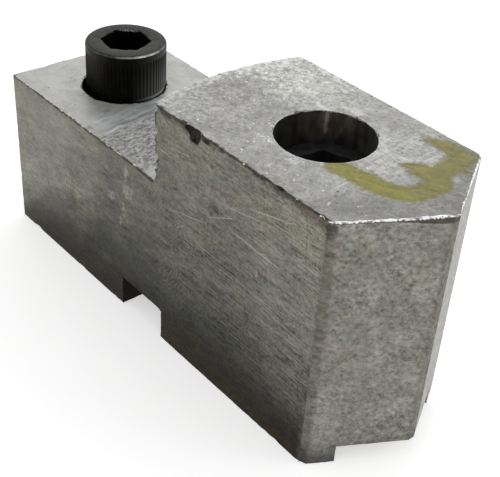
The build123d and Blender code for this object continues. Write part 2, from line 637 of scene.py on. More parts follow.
class Board:
    """A node tree with short calls that add a node and give back what it puts out."""

    def __init__(self, tree):
        self.tree = tree

    def add(self, kind, inputs=None, **settings):
        """Adds a node, with its inputs fed and its settings made."""
        node = self.tree.nodes.new(kind)
        for name, value in settings.items():
            setattr(node, name, value)
        for name, value in (inputs or {}).items():
            self.feed(node.inputs[name], value)
        return node

    def feed(self, socket, value):
        """Links a socket to what another node puts out, or sets it to a plain value."""
        if isinstance(value, bpy.types.NodeSocket):
            self.tree.links.new(value, socket)
        else:
            socket.default_value = value

    def maths(self, operation, *values):
        return self.add("ShaderNodeMath", dict(enumerate(values)), operation=operation).outputs[0]

    def times(self, *values):
        result = values[0]
        for value in values[1:]:
            result = self.maths("MULTIPLY", result, value)
        return result

    def plus(self, *values):
        result = values[0]
        for value in values[1:]:
            result = self.maths("ADD", result, value)
        return result

    def less(self, value, amount):
        return self.maths("SUBTRACT", value, amount)

    def size(self, value):
        return self.maths("ABSOLUTE", value)

    def rest(self, mask):
        """What a mask leaves over."""
        return self.less(1.0, mask)

    def swing(self, value, *amounts):
        """A value that runs from 0 to 1, as a swing either way of nought."""
        return self.times(self.less(value, 0.5), *amounts)

    def apart(self, value, centre):
        """How far a value lies from a centre, either way."""
        return self.size(self.less(value, centre))

    def reach(self, x, y, centre_x=0.0, centre_y=0.0):
        """How far a place lies from a centre."""
        across = self.less(x, centre_x)
        up = self.less(y, centre_y)
        return self.maths("SQRT", self.plus(self.times(across, across), self.times(up, up)))

    def between(self, share, first, second):
        """A number that goes from first to second."""
        inputs = {"Value": share, "To Min": first, "To Max": second}
        return self.add("ShaderNodeMapRange", inputs).outputs[0]

    def fade(self, value, low, high, at_low=0.0, at_high=1.0):
        """Goes smoothly from at_low, where value is low, to at_high, where it is high."""
        inputs = {"Value": value, "From Min": low, "From Max": high, "To Min": at_low, "To Max": at_high}
        return self.add("ShaderNodeMapRange", inputs, interpolation_type="SMOOTHSTEP").outputs[0]

    def fall(self, value, low, high):
        """Goes smoothly from 1, where value is low, to 0, where it is high."""
        return self.fade(value, low, high, 1.0, 0.0)

    def vector(self, operation, *values):
        return self.add("ShaderNodeVectorMath", dict(enumerate(values)), operation=operation).outputs[0]

    def scaled(self, vector, factor):
        node = self.add("ShaderNodeVectorMath", {0: vector, "Scale": factor}, operation="SCALE")
        return node.outputs[0]

    def join(self, x, y, z=0.0):
        return self.add("ShaderNodeCombineXYZ", {"X": x, "Y": y, "Z": z}).outputs[0]

    def split(self, vector):
        return self.add("ShaderNodeSeparateXYZ", {"Vector": vector}).outputs

    def turn(self, vector, angle):
        inputs = {"Vector": vector, "Angle": angle}
        return self.add("ShaderNodeVectorRotate", inputs, rotation_type="Z_AXIS").outputs[0]

    def shifted(self, vector, x=0.0, y=0.0, z=0.0):
        """A place moved aside, for clouds that differ from the ones at the place itself."""
        return self.vector("ADD", vector, (x, y, z))

    def drawn_out(self, vector, angle, length):
        """A place turned and squeezed along X, for clouds that are longer that way."""
        return self.vector("DIVIDE", self.turn(vector, angle), (length, 1.0, 1.0))

    def clouds(self, vector, scale, detail=3.0, roughness=0.55):
        inputs = {"Vector": vector, "Scale": scale, "Detail": detail, "Roughness": roughness}
        return self.add("ShaderNodeTexNoise", inputs).outputs[0]

    def cells(self, vector):
        """How far a place lies from its cell's middle, and a colour drawn afresh for each cell."""
        node = self.add("ShaderNodeTexVoronoi", {"Vector": vector, "Scale": 1.0})
        return node.outputs["Distance"], node.outputs["Color"]

    def draw(self, vector):
        """A number and three more, drawn afresh for each whole-number place."""
        node = self.add("ShaderNodeTexWhiteNoise", {"Vector": vector}, noise_dimensions="3D")
        return node.outputs["Value"], node.outputs["Color"]

    def mix(self, share, first, second):
        """A colour that goes from first to second."""
        node = self.add("ShaderNodeMix", {0: share}, data_type="RGBA")
        for socket, colour in ((node.inputs[6], first), (node.inputs[7], second)):
            self.feed(socket, (*colour, 1) if isinstance(colour, tuple) else colour)
        return node.outputs[2]

    def stored(self, name):
        """A value kept in the mesh."""
        return self.add("ShaderNodeAttribute", attribute_name=name).outputs["Fac"]

    def place(self):
        """The place on the piece, in millimetres."""
        where = self.add("ShaderNodeTexCoord").outputs["Object"]
        return self.scaled(where, 1 / MILLIMETRE)

    def group(self, tree, **inputs):
        """What a node group puts out first, with the inputs that its place takes."""
        node = self.add("ShaderNodeGroup", node_tree=tree)
        for name, value in inputs.items():
            self.feed(node.inputs[name.replace("_", " ")], value)
        return node.outputs[0]


SOCKETS = {"number": "NodeSocketFloat", "vector": "NodeSocketVector"}


def shader_group(name, output, vectors, numbers):
    """An empty node group that puts out one number. Gives its board, its inputs and its output socket."""
    tree = bpy.data.node_groups.new(name, "ShaderNodeTree")
    for label in vectors:
        tree.interface.new_socket(label, in_out="INPUT", socket_type=SOCKETS["vector"])
    for label, value in numbers.items():
        socket = tree.interface.new_socket(label, in_out="INPUT", socket_type=SOCKETS["number"])
        socket.default_value = value
    tree.interface.new_socket(output, in_out="OUTPUT", socket_type=SOCKETS["number"])
    board = Board(tree)
    return board, board.add("NodeGroupInput").outputs, board.add("NodeGroupOutput").inputs[output]


def cutter_lines_group():
    """Fine parallel lines, as a cutter or a scouring pad leaves them, from 0 for dark to 1 for light."""
    numbers = {"Angle": 0.0, "Length": 10.0, "Width": 0.3, "Softness": 0.12}
    board, given, result = shader_group("cutter_lines", "Lines", ["Place"], numbers)
    turned = board.turn(given["Place"], given["Angle"])
    size = board.join(given["Length"], given["Width"], 4.0)
    lines = board.clouds(board.vector("DIVIDE", turned, size), 1.0, detail=3.0, roughness=0.6)
    low = board.less(0.5, given["Softness"])
    high = board.plus(0.5, given["Softness"])
    board.feed(result, board.fade(lines, low, high))
    return board.tree


def scratches_group():
    """Single scratches that taper at both ends: one or none in each stretch of uneven rows."""
    numbers = {"Angle": 0.0, "Length": 12.0, "Spacing": 1.0, "Width": 0.15, "Cover": 0.4, "Seed": 0.0}
    board, given, result = shader_group("scattered_scratches", "Scratches", ["Place"], numbers)
    turned = board.turn(given["Place"], given["Angle"])
    x, y, _ = board.split(turned)
    bend = board.swing(board.clouds(turned, 0.05, detail=1.0), 4.0)
    rows = board.maths("DIVIDE", board.plus(y, bend), given["Spacing"])
    rows = board.plus(rows, board.times(given["Seed"], 7.3))
    row = board.maths("FLOOR", rows)
    shift, _ = board.draw(board.join(row, given["Seed"]))
    stretches = board.plus(board.maths("DIVIDE", x, given["Length"]), board.times(shift, 31.0))
    along = board.maths("FRACT", stretches)
    chance, draws = board.draw(board.join(board.maths("FLOOR", stretches), row, given["Seed"]))
    first, second, third = board.split(draws)
    middle = board.between(first, 0.3, 0.7)
    lean = board.times(board.swing(second), board.swing(along), 0.8)
    across = board.less(board.less(board.maths("FRACT", rows), middle), lean)
    gap = board.times(board.size(across), given["Spacing"])
    width = board.times(given["Width"], board.between(third, 0.5, 1.2))
    line = board.fall(gap, board.times(width, 0.25), board.times(width, 0.75))
    begin = board.fade(along, board.times(third, 0.3), board.plus(board.times(third, 0.3), 0.3))
    finish = board.fall(along, 0.65, 1.0)
    chosen = board.maths("GREATER_THAN", chance, board.rest(given["Cover"]))
    strength = board.between(second, 0.35, 1.0)
    board.feed(result, board.times(line, begin, finish, chosen, strength))
    return board.tree


def single_scratch_group():
    """One scratch from a start, in a direction, that tapers and breaks up along its way."""
    numbers = {"Angle": 0.0, "Length": 10.0, "Width": 0.3}
    board, given, result = shader_group("single_scratch", "Scratch", ["Place", "Start"], numbers)
    moved = board.vector("SUBTRACT", given["Place"], given["Start"])
    x, y, _ = board.split(board.turn(moved, board.times(given["Angle"], -1.0)))
    sway = board.times(board.swing(board.clouds(given["Place"], 0.25)), given["Length"], 0.05)
    gap = board.size(board.plus(y, sway))
    line = board.fall(gap, board.times(given["Width"], 0.2), board.times(given["Width"], 0.7))
    begin = board.fade(x, 0.0, board.times(given["Length"], 0.3))
    finish = board.fall(x, board.times(given["Length"], 0.7), given["Length"])
    broken = board.fade(board.clouds(given["Place"], 1.4), 0.35, 0.55, 0.35, 1.0)
    board.feed(result, board.times(line, begin, finish, broken))
    return board.tree


def smudge_group():
    """A soft spot with a ragged outline, from 0 outside it to 1 in its middle."""
    vectors = ["Place", "Centre", "Reach"]
    board, given, result = shader_group("smudge", "Smudge", vectors, {"Raggedness": 0.8})
    moved = board.vector("SUBTRACT", given["Place"], given["Centre"])
    x, y, _ = board.split(board.vector("DIVIDE", moved, given["Reach"]))
    gap = board.maths("SQRT", board.plus(board.times(x, x), board.times(y, y)))
    uneven = board.swing(board.clouds(given["Place"], 0.9), given["Raggedness"])
    board.feed(result, board.fall(board.plus(gap, uneven), 0.4, 1.0))
    return board.tree


def grain_group():
    """Crisp mottling like that of a shot or sanded skin, from 0 for dark to 1 for light."""
    board, given, result = shader_group("grain", "Grain", ["Place"], {"Size": 1.0})
    size = board.join(given["Size"], given["Size"], given["Size"])
    place = board.vector("DIVIDE", given["Place"], size)
    coarse = board.fade(board.clouds(place, 1.0, detail=2.0, roughness=0.6), 0.38, 0.62)
    fine = board.fade(board.clouds(place, 2.6, detail=2.0, roughness=0.6), 0.35, 0.65)
    board.feed(result, board.plus(board.times(coarse, 0.6), board.times(fine, 0.4)))
    return board.tree


def flecks_group():
    """Small uneven pits or sparkles."""
    board, given, result = shader_group("flecks", "Flecks", ["Place"], {"Size": 1.0, "Cover": 0.3})
    size = board.join(given["Size"], given["Size"], given["Size"])
    place = board.vector("DIVIDE", given["Place"], size)
    waver = board.add("ShaderNodeTexNoise", {"Vector": place, "Scale": 4.0}).outputs["Color"]
    distance, colour = board.cells(board.vector("ADD", place, board.scaled(waver, 0.35)))
    first, second, _ = board.split(colour)
    chosen = board.maths("GREATER_THAN", first, board.rest(given["Cover"]))
    reach = board.between(second, 0.12, 0.32)
    spot = board.fall(distance, board.times(reach, 0.4), reach)
    board.feed(result, board.times(spot, chosen))
    return board.tree


def worn_edge_group():
    """A broken line on a worn edge."""
    numbers = {"Edge gap": 1.0, "Width": 0.4, "Raggedness": 0.3}
    board, given, result = shader_group("worn_edge", "Line", ["Place"], numbers)
    coarse = board.swing(board.clouds(given["Place"], 0.35))
    fine = board.swing(board.clouds(given["Place"], 1.6))
    uneven = board.times(board.plus(coarse, fine), given["Raggedness"], 2.0)
    gap = board.plus(given["Edge gap"], uneven)
    board.feed(result, board.fall(gap, board.times(given["Width"], 0.6), given["Width"]))
    return board.tree


cutter_lines = cutter_lines_group()
scratches = scratches_group()
single_scratch = single_scratch_group()
smudge = smudge_group()
grain = grain_group()
flecks = flecks_group()
worn_edge = worn_edge_group()


def new_finish(name, metallic=0.0, shine=None):
    """A material, with its board and its shader. shine is how much it mirrors where it is no metal."""
    material = bpy.data.materials.new(name)
    material.use_nodes = True
    board = Board(material.node_tree)
    shader = material.node_tree.nodes["Principled BSDF"]
    shader.inputs["Metallic"].default_value = metallic
    if shine is not None:
        shader.inputs["Specular IOR Level"].default_value = shine
    return material, board, shader


def dress(board, shader, colour, roughness, height, depth):
    """Links a finish's colour, roughness and relief, whose depth is in millimetres, to its shader."""
    board.feed(shader.inputs["Base Color"], colour)
    board.feed(shader.inputs["Roughness"], roughness)
    relief = board.add("ShaderNodeBump", {"Height": height, "Distance": depth * MILLIMETRE})
    board.feed(shader.inputs["Normal"], relief.outputs[0])


def grey(value, warmth=0.0):
    """A near-neutral colour, with its blue lowered by warmth."""
    return (value, value * (1 - 0.15 * warmth), value * (1 - warmth))


def strongest(board, masks):
    """The highest of several masks at each place."""
    result = masks[0]
    for mask in masks[1:]:
        result = board.maths("MAXIMUM", result, mask)
    return result


def cut_lines(board, place, angle, length, width, softness):
    """Parallel lines as long and as wide as a cutter left them."""
    return board.group(cutter_lines, Place=place, Angle=angle, Length=length, Width=width, Softness=softness)


def scattered(board, place, rows):
    """Scattered scratches. Each row has their angle, length, spacing, width, cover and seed."""
    labels = ("Angle", "Length", "Spacing", "Width", "Cover", "Seed")
    return strongest(board, [board.group(scratches, Place=place, **dict(zip(labels, row))) for row in rows])


def drawn_scratches(board, place, marks):
    """Scratches at chosen places. Each has its start, its direction in degrees, its length and its width."""
    masks = []
    for x, y, turn, length, width in marks:
        start = (x, y, 0)
        angle = math.radians(turn)
        mask = board.group(single_scratch, Place=place, Start=start, Angle=angle, Length=length, Width=width)
        masks.append(mask)
    return strongest(board, masks)


def drawn_smudges(board, place, spots, raggedness):
    """Smudges at chosen places. Each spot has its middle and its half sizes."""
    return strongest(board, [
        board.group(smudge, Place=place, Centre=(x, y, 0), Reach=(across, up, 1), Raggedness=raggedness)
        for x, y, across, up in spots
    ])


def worn_line(board, place, width, raggedness):
    """The line along the jaw's sharp edges that wear leaves bare or dirty."""
    gap = board.stored("edge_gap")
    return board.group(worn_edge, Place=place, Edge_gap=gap, Width=width, Raggedness=raggedness)


# The jaw's top face

PALE_METAL = (1.0, 0.992, 0.94)
PAINT = (0.250, 0.226, 0.056)
NEAR_PAINT = (0.275, 0.255, 0.042)
# Scattered scratches have an angle, a length, a spacing, a width, a cover and a seed. Marks have a start, a
# direction in degrees, a length and a width. Spots, patches and burrs have a middle and two half sizes.
HATCHED_SPOTS = [(38.5, 6.0, 9.5, 12.0), (44.0, 11.0, 5.0, 6.0), (42.5, 0.4, 7.5, 3.4)]
TOP_DARK_SCRATCHES = [(0.5, 5.0, 1.8, 0.2, 0.3, 1.0), (-0.9, 4.0, 2.1, 0.2, 0.3, 4.0)]
TOP_PALE_SCRATCHES = [(-0.25, 5.0, 2.1, 0.22, 0.3, 8.0), (1.2, 3.5, 1.9, 0.22, 0.3, 9.0)]
TOP_BRIGHT_MARKS = [
    (41.4, -13.0, 91, 9.0, 0.36), (44.0, -15.2, -60, 1.6, 0.5), (29.0, -17.4, 95, 3.0, 0.3),
    (22.0, 11.0, 20, 5.0, 0.3),
]
TOP_WORN_PATCHES = [(51.9, 8.8, 1.2, 1.0), (23.8, 11.6, 2.6, 1.6)]
TOP_BURRS = [(21.5, -10.4, 4.0, 1.2), (30.3, -11.2, 1.8, 2.0), (34.2, -7.6, 1.1, 1.0)]


def gap_to_slant(board, x, y):
    """How far a place on the top face lies from the nearer slanted face."""
    from_tip = board.times(board.less(sharp_tip, x), math.sin(tip_angle / 2))
    return board.less(from_tip, board.times(board.size(y), math.cos(tip_angle / 2)))


def top_skin(board, place, mottle, speckle, rear_far, near_slant, hatch_zone):
    """The granular skin's colour: lighter at the rear and in the hatching, darker along the near slant."""
    x, _, _ = board.split(place)
    broad = board.clouds(place, 0.13, detail=4.0, roughness=0.6)
    # The level is pale partly as the scoured metal's own tone and partly as painted light, since the top
    # faces the light from above.
    level = board.plus(
        0.294, board.times(rear_far, 0.13), board.times(near_slant, -0.078), board.times(hatch_zone, 0.115)
    )
    level = board.times(level, board.between(broad, 0.55, 1.45))
    busy = board.plus(
        board.between(board.clouds(place, 0.2), 0.2, 1.5), board.times(rear_far, 0.3),
        board.times(near_slant, -0.04), board.fade(x, 8.0, 22.0, 0.4, 0.0),
    )
    texture = board.plus(board.swing(mottle, 1.5), board.swing(speckle, 0.45))
    level = board.times(level, board.plus(1.0, board.times(texture, busy)))
    return board.scaled(PALE_METAL, level)


def hatched(board, place, colour, hatch_zone):
    """The colour with crossing cutter lines, dark and light, in the hatched zone."""
    upright = cut_lines(board, place, angle=1.5, length=3.5, width=0.8, softness=0.14)
    level = cut_lines(board, place, angle=0.12, length=3.0, width=0.55, softness=0.14)
    hatch = board.plus(board.times(upright, 0.6), board.times(level, 0.4))
    colour = board.mix(board.times(hatch_zone, board.fade(hatch, 0.1, 0.6, 0.48, 0.0)), colour, grey(0.19))
    return board.mix(board.times(hatch_zone, board.fade(hatch, 0.5, 0.95, 0.0, 0.32)), colour, grey(0.6))


def top_sparkles(board, place, rear_far):
    """Bright specks: some all over, more round the bore, along the curved wall's edge and in a few burrs."""
    x, y, _ = board.split(place)
    rim_gap = board.less(board.reach(x, y, front_hole), counterbore_radius)
    rim_side = board.fall(board.plus(y, board.times(x, 0.3)), 4.0, 10.0)
    from_wall = board.less(wall_radius, board.reach(x, y, wall_centre))
    burrs = drawn_smudges(board, place, TOP_BURRS, 1.0)
    room = strongest(board, [
        board.times(burrs, 0.85),
        board.times(board.fade(rim_gap, 0.3, 3.0, 0.6, 0.0), rim_side),
        board.fade(from_wall, 0.5, 5.0, 0.6, 0.0),
        board.times(rear_far, 0.3),
        board.fade(x, 20.0, 34.0, 0.16, 0.07),
    ])
    specks = board.group(flecks, Place=board.shifted(place, 40.0, 9.0, 3.0), Size=0.9, Cover=room)
    rough = board.clouds(place, 1.9, detail=3.0, roughness=0.65)
    return strongest(board, [specks, board.times(burrs, board.fade(rough, 0.48, 0.6), 0.6)])


def top_edges(board, place, colour, off_side, along_side, knocked_in):
    """The colour with the curved wall's crumbled edge, the bare line on the slants and the dirty nicks."""
    x, y, _ = board.split(place)
    from_wall = board.less(wall_radius, board.reach(x, y, wall_centre))
    crumbled = board.less(board.clouds(place, 0.8, detail=4.0, roughness=0.65), board.times(from_wall, 0.045))
    worn_rim = board.times(board.fade(crumbled, 0.40, 0.50), board.fade(y, -14.0, 4.0, 0.25, 0.66))
    colour = board.mix(worn_rim, colour, grey(0.72))
    patchy = board.clouds(place, 0.45, detail=3.0)
    line = worn_line(board, place, 0.3, 0.36)
    at_slant = board.fall(gap_to_slant(board, x, y), 0.9, 1.3)
    bare = board.between(board.times(at_slant, board.fade(patchy, 0.36, 0.46, 0.35, 1.0)), 0.3, 1.0)
    dirty = board.times(along_side, board.fade(patchy, 0.4, 0.55, 0.3, 0.9))
    colour = board.mix(board.times(line, bare, off_side), colour, grey(0.9))
    colour = board.mix(board.times(line, dirty), colour, DIRT)
    return board.mix(board.times(knocked_in, 0.75), colour, DIRT)


def painted_over(board, place, colour, speckle):
    """The colour with the worn paint daub over it, and where the paint lies."""
    _, y, _ = board.split(place)
    ragged = board.plus(
        board.stored("paint_gap"), board.swing(board.clouds(place, 0.8), 1.2), board.swing(speckle, 0.4)
    )
    worn_off = board.fade(board.clouds(place, 1.5), 0.5, 0.7)
    worn_off = board.times(worn_off, board.fade(y, -4.0, 14.0, 0.25, 0.5))
    painted = board.times(board.fall(ragged, -0.8, 0.8), board.less(0.97, worn_off))
    brushed = board.clouds(board.drawn_out(place, -0.5, 3.0), 0.9, detail=4.0, roughness=0.65)
    thickness = board.plus(
        0.34, board.times(brushed, 1.0), board.times(speckle, 0.26),
        board.times(board.fade(ragged, -1.6, -0.5), -0.1),
    )
    paint = board.scaled(board.mix(board.fall(y, -3.5, 1.0), PAINT, NEAR_PAINT), thickness)
    return board.mix(painted, colour, paint), painted


def top_finish():
    """The top face: a pale, granular skin with pits, sparkles and hatched scratches, and the paint daub."""
    finish, board, shader = new_finish("scoured_top")
    place = board.place()
    x, y, _ = board.split(place)
    uphill = board.clouds(board.drawn_out(place, 0.8, 1.9), 0.95, detail=4.0, roughness=0.7)
    downhill = board.clouds(board.drawn_out(place, -0.5, 1.9), 0.95, detail=4.0, roughness=0.7)
    mottle = board.between(board.fade(board.clouds(place, 0.16), 0.42, 0.58), uphill, downhill)
    speckle = board.group(grain, Place=board.shifted(place, 50.0), Size=0.7)
    near_slant = board.times(board.fall(gap_to_slant(board, x, y), 3.0, 11.0), board.fade(x, 30.0, 44.0))
    rear_far = board.times(board.fade(y, 0.0, 9.0), board.fall(x, 14.0, 28.0))
    hatch_zone = drawn_smudges(board, place, HATCHED_SPOTS, 0.5)
    colour = top_skin(board, place, mottle, speckle, rear_far, near_slant, hatch_zone)
    colour = hatched(board, place, colour, hatch_zone)

    dark_ones = scattered(board, place, TOP_DARK_SCRATCHES)
    colour = board.mix(board.times(dark_ones, 0.5), colour, grey(0.17))
    colour = board.mix(board.times(scattered(board, place, TOP_PALE_SCRATCHES), 0.36), colour, grey(0.66))
    pits = board.group(flecks, Place=place, Size=1.3, Cover=0.4)
    colour = board.mix(board.times(pits, 0.75), colour, grey(0.09, 0.2))
    blotch = board.fade(board.clouds(board.shifted(place, 9.0), 0.3, detail=4.0, roughness=0.65), 0.52, 0.66)
    colour = board.mix(board.times(blotch, board.plus(0.12, board.times(rear_far, 0.5))), colour, grey(0.68))
    worn_patches = board.times(
        drawn_smudges(board, place, TOP_WORN_PATCHES, 1.6), board.fade(mottle, 0.4, 0.6, 0.3, 0.8)
    )
    bright = strongest(board, [drawn_scratches(board, place, TOP_BRIGHT_MARKS), worn_patches])
    colour = board.mix(board.times(bright, 0.5), colour, grey(0.72))

    near_edge = board.fall(y, -side_face + 0.6, -side_face + 1.0)
    along_side = board.times(near_edge, board.fall(x, shoulder - 0.3, shoulder + 0.3))
    off_side = board.rest(along_side)
    knocked_in = board.fade(board.stored("nick_depth"), 0.03, 0.2)
    sparkles = board.times(top_sparkles(board, place, rear_far), off_side, board.rest(knocked_in))
    colour = board.mix(board.times(sparkles, 0.9), colour, grey(0.9))
    colour = top_edges(board, place, colour, off_side, along_side, knocked_in)
    colour, painted = painted_over(board, place, colour, speckle)

    roughness = board.between(board.plus(board.times(mottle, 0.6), board.times(painted, 0.5)), 0.42, 0.7)
    height = board.plus(mottle, speckle, board.times(dark_ones, -1.0), board.times(pits, -1.5))
    dress(board, shader, colour, roughness, height, 0.02)
    board.feed(shader.inputs["Metallic"], board.times(board.rest(painted), METAL_SHARE))
    return finish


# The turned step

STEP_METAL = (1.0, 0.995, 0.945)
TORN_METAL = (1.0, 1.0, 0.97)
# A cool tint for the painted reflection in front of the rear screw's head
HEAD_REFLECTION_TINT = (1.24, 1.31, 1.31)
WALL_METAL = (0.30, 0.295, 0.27)
STEP_SPOTS = [
    (-32.0, -10.6, 1.0, 1.6), (-31.2, -12.0, 0.8, 0.8), (-27.6, -18.3, 1.4, 0.7), (-56.2, -7.6, 0.6, 0.4),
    (-38.8, -15.2, 0.5, 0.35), (-48.6, 13.0, 0.8, 0.6),
]


def smooth_step(board, place, reach, bend, rings, fine):
    """The step's colour where it was turned smooth, with a painted reflection beside the torn ring: a cool,
    smeared zone in front of the rear screw's head.
    """
    x, y, z = board.split(place)
    broad = board.clouds(place, 0.09, detail=3.0)
    wiped = board.clouds(board.join(board.times(x, 0.5), y, z), 0.3, detail=3.0, roughness=0.6)
    # The smooth step's pale level is partly the turned metal's own tone and partly painted light, since the
    # step faces the light from above.
    level = board.times(
        board.between(broad, 0.35, 0.55), board.between(fine, 0.77, 1.23), board.between(wiped, 0.8, 1.2)
    )
    streaky = board.fall(reach, rough_ring_outside - 1.0, rough_ring_outside + 9.0)
    level = board.times(level, board.rest(board.times(board.fade(rings, 0.6, 0.1), streaky, 0.22)))
    # Painted reflection of the rear screw's head: a cool, smeared zone beside the torn ring
    cool_edge = board.plus(reach, board.times(broad, 6.0))
    head_reflection_zone = board.times(
        board.fall(cool_edge, rough_ring_outside + 8.0, rough_ring_outside + 13.0),
        board.fade(y, -19.0, -14.0),
    )
    smears = board.clouds(board.join(board.times(bend, 0.25), reach, z), 0.8, detail=4.0, roughness=0.65)
    cool = board.scaled(HEAD_REFLECTION_TINT, board.times(level, board.between(smears, 0.05, 1.95)))
    return board.mix(board.times(head_reflection_zone, 0.85), board.scaled(STEP_METAL, level), cool)


def step_finish():
    """The step and its curved wall: rings left by turning, torn in one band and smooth beside it."""
    finish, board, shader = new_finish("turned_step", 0.45)
    place = board.place()
    x, y, z = board.split(place)
    reach = board.reach(x, y, wall_centre)
    bend = board.times(board.maths("ARCTAN2", y, board.less(wall_centre, x)), wall_radius)
    rings = cut_lines(board, board.join(bend, reach, z), angle=0.0, length=6.0, width=0.55, softness=0.14)
    fine = board.clouds(place, 0.7, detail=4.0, roughness=0.65)
    smooth = smooth_step(board, place, reach, bend, rings, fine)
    torn = board.group(grain, Place=board.join(board.times(bend, 0.62), reach, z), Size=0.72)
    tears = board.group(grain, Place=board.shifted(place, 0.0, 60.0), Size=0.6)
    rough = board.scaled(TORN_METAL, board.plus(0.078, board.times(torn, 0.36), board.times(tears, 0.18)))
    uneven = board.plus(reach, board.swing(board.clouds(place, 0.5), 2.5))
    inside = board.fall(uneven, rough_ring_outside - 0.5, rough_ring_outside + 0.7)
    outside = board.fade(uneven, smooth_ring_radius - 0.4, smooth_ring_radius + 0.5)
    in_ring = board.times(inside, outside)
    colour = board.mix(in_ring, smooth, rough)

    dark_streaks = board.times(
        board.fade(reach, rough_ring_outside - 0.5, rough_ring_outside + 0.5),
        board.fall(reach, rough_ring_outside + 1.0, rough_ring_outside + 4.0),
        board.fade(rings, 0.55, 0.15),
    )
    colour = board.mix(board.times(dark_streaks, 0.45), colour, grey(0.15))
    spots = drawn_smudges(board, place, STEP_SPOTS, 2.2)
    colour = board.mix(board.times(spots, 0.5), colour, grey(0.13, 0.1))
    smeared = board.fade(board.clouds(place, 0.2, detail=5.0, roughness=0.7), 0.5, 0.66)
    colour = board.mix(board.times(smeared, board.fade(reach, 82.0, 90.0), 0.3), colour, grey(0.22, 0.08))
    pits = board.group(flecks, Place=place, Size=1.4, Cover=0.16)
    colour = board.mix(board.times(pits, 0.65), colour, grey(0.13, 0.15))

    line = worn_line(board, place, 0.35, 0.5)
    on_step = board.fall(z, step_height + 0.4, step_height + 0.8)
    nicked = board.fade(board.clouds(place, 0.4), 0.5, 0.6)
    dirty = board.times(board.fade(y, side_face - 2.0, side_face - 1.0, 0.8, 0.2), board.rest(nicked))
    colour = board.mix(board.times(line, on_step, dirty), colour, DIRT)
    colour = board.mix(board.times(line, on_step, nicked, 0.8), colour, grey(0.8))
    nick = board.fade(board.stored("nick_depth"), 0.08, 0.25)
    colour = board.mix(board.times(nick, on_step, 0.4), colour, grey(0.6))
    on_wall = board.fade(z, step_height + 0.8, step_height + 2.0)
    colour = board.mix(on_wall, colour, board.scaled(WALL_METAL, board.between(rings, 0.75, 1.25)))

    roughness = board.between(board.plus(board.times(in_ring, 0.5), board.times(fine, 0.25)), 0.42, 0.8)
    torn_height = board.times(board.plus(torn, tears), in_ring)
    height = board.plus(board.times(rings, 0.3), torn_height, board.times(pits, -1.0))
    dress(board, shader, colour, roughness, height, 0.03)
    return finish


# The long sides

# The side's dark tones are partly its own dirt and oxide and partly painted shade, since the sides face away
# from the light.
SIDE_METAL = (0.168, 0.165, 0.143)
GREENER_METAL = (0.176, 0.175, 0.14)
SIDE_RUST = (0.185, 0.158, 0.135)
SIDE_MOSS = (0.168, 0.172, 0.122)
# A warm dark tint for the painted shade at the feet
FOOT_SHADE = (0.022, 0.0145, 0.004)
# The rounded corners at the pointed end, darkened as painted shade
CORNER_SHADE = (0.125, 0.12, 0.088)
CHIP_DARK = (0.01, 0.008, 0.005)
CHIP_PALE = (0.035, 0.03, 0.024)
# The stretch of X over which the side steps up to the tall part
STEP_UP = (-1.9, -1.0)
SIDE_PALE_SCRATCHES = [
    (0.03, 9.0, 0.7, 0.22, 0.6, 2.0), (-0.04, 6.0, 0.8, 0.22, 0.6, 3.0), (0.4, 4.0, 1.3, 0.2, 0.4, 6.0),
    (-0.4, 6.0, 1.7, 0.22, 0.45, 9.0),
]
SIDE_DARK_SCRATCHES = [(0.06, 6.0, 0.9, 0.25, 0.5, 5.0), (-0.02, 4.0, 0.8, 0.25, 0.45, 7.0)]
SIDE_BRIGHT_MARKS = [
    (21.5, 42.4, -3, 18, 0.34), (2.5, 36.2, 14, 15, 0.26), (15, 40.8, 27, 12, 0.26), (26, 49.5, 14, 15, 0.26),
    (6, 33, 38, 4, 0.3), (12, 33.1, 0, 9, 0.26), (19.5, 31.5, -2, 6, 0.24), (30, 31.6, 2, 8, 0.24),
    (20, 18.2, 10, 5, 0.24), (-0.5, 49.2, -6, 5, 0.3), (3, 51, 8, 9, 0.24), (31.4, 35.8, 88, 2, 0.6),
    (20, 46.5, 12, 14, 0.24),
]
SIDE_DARK_MARKS = [
    (17, 18.7, -3, 18, 0.34), (33.5, 17.7, 32, 4.5, 0.34), (41, 29, 50, 6.5, 0.26),
    (43.2, 57.4, -85, 13, 0.3), (24, 40.4, -8, 7, 0.3), (-4, 38.6, -12, 6, 0.3),
]
SIDE_SPOTS = [
    (17.5, 44.6, 1.4, 0.9), (-54.5, 29.2, 0.9, 0.7), (10.0, 27.2, 0.9, 0.8), (38.6, 51.8, 0.5, 0.4),
    (-51.8, 26.8, 0.8, 0.6), (17.3, 42.6, 0.7, 0.6),
]
WRIGGLE_SPOTS = [
    (-12.0, 37.0, 1.2, 2.4), (-11.3, 32.4, 2.8, 2.4), (-13.2, 27.0, 1.5, 2.2), (-14.2, 23.5, 1.1, 1.8),
    (-18.0, 28.3, 2.2, 1.6),
]
SWIRL_CENTRE = (-1.0, 23.0)
SWIRL_SPOT = (5.5, 17.5, 7.5, 8.5)


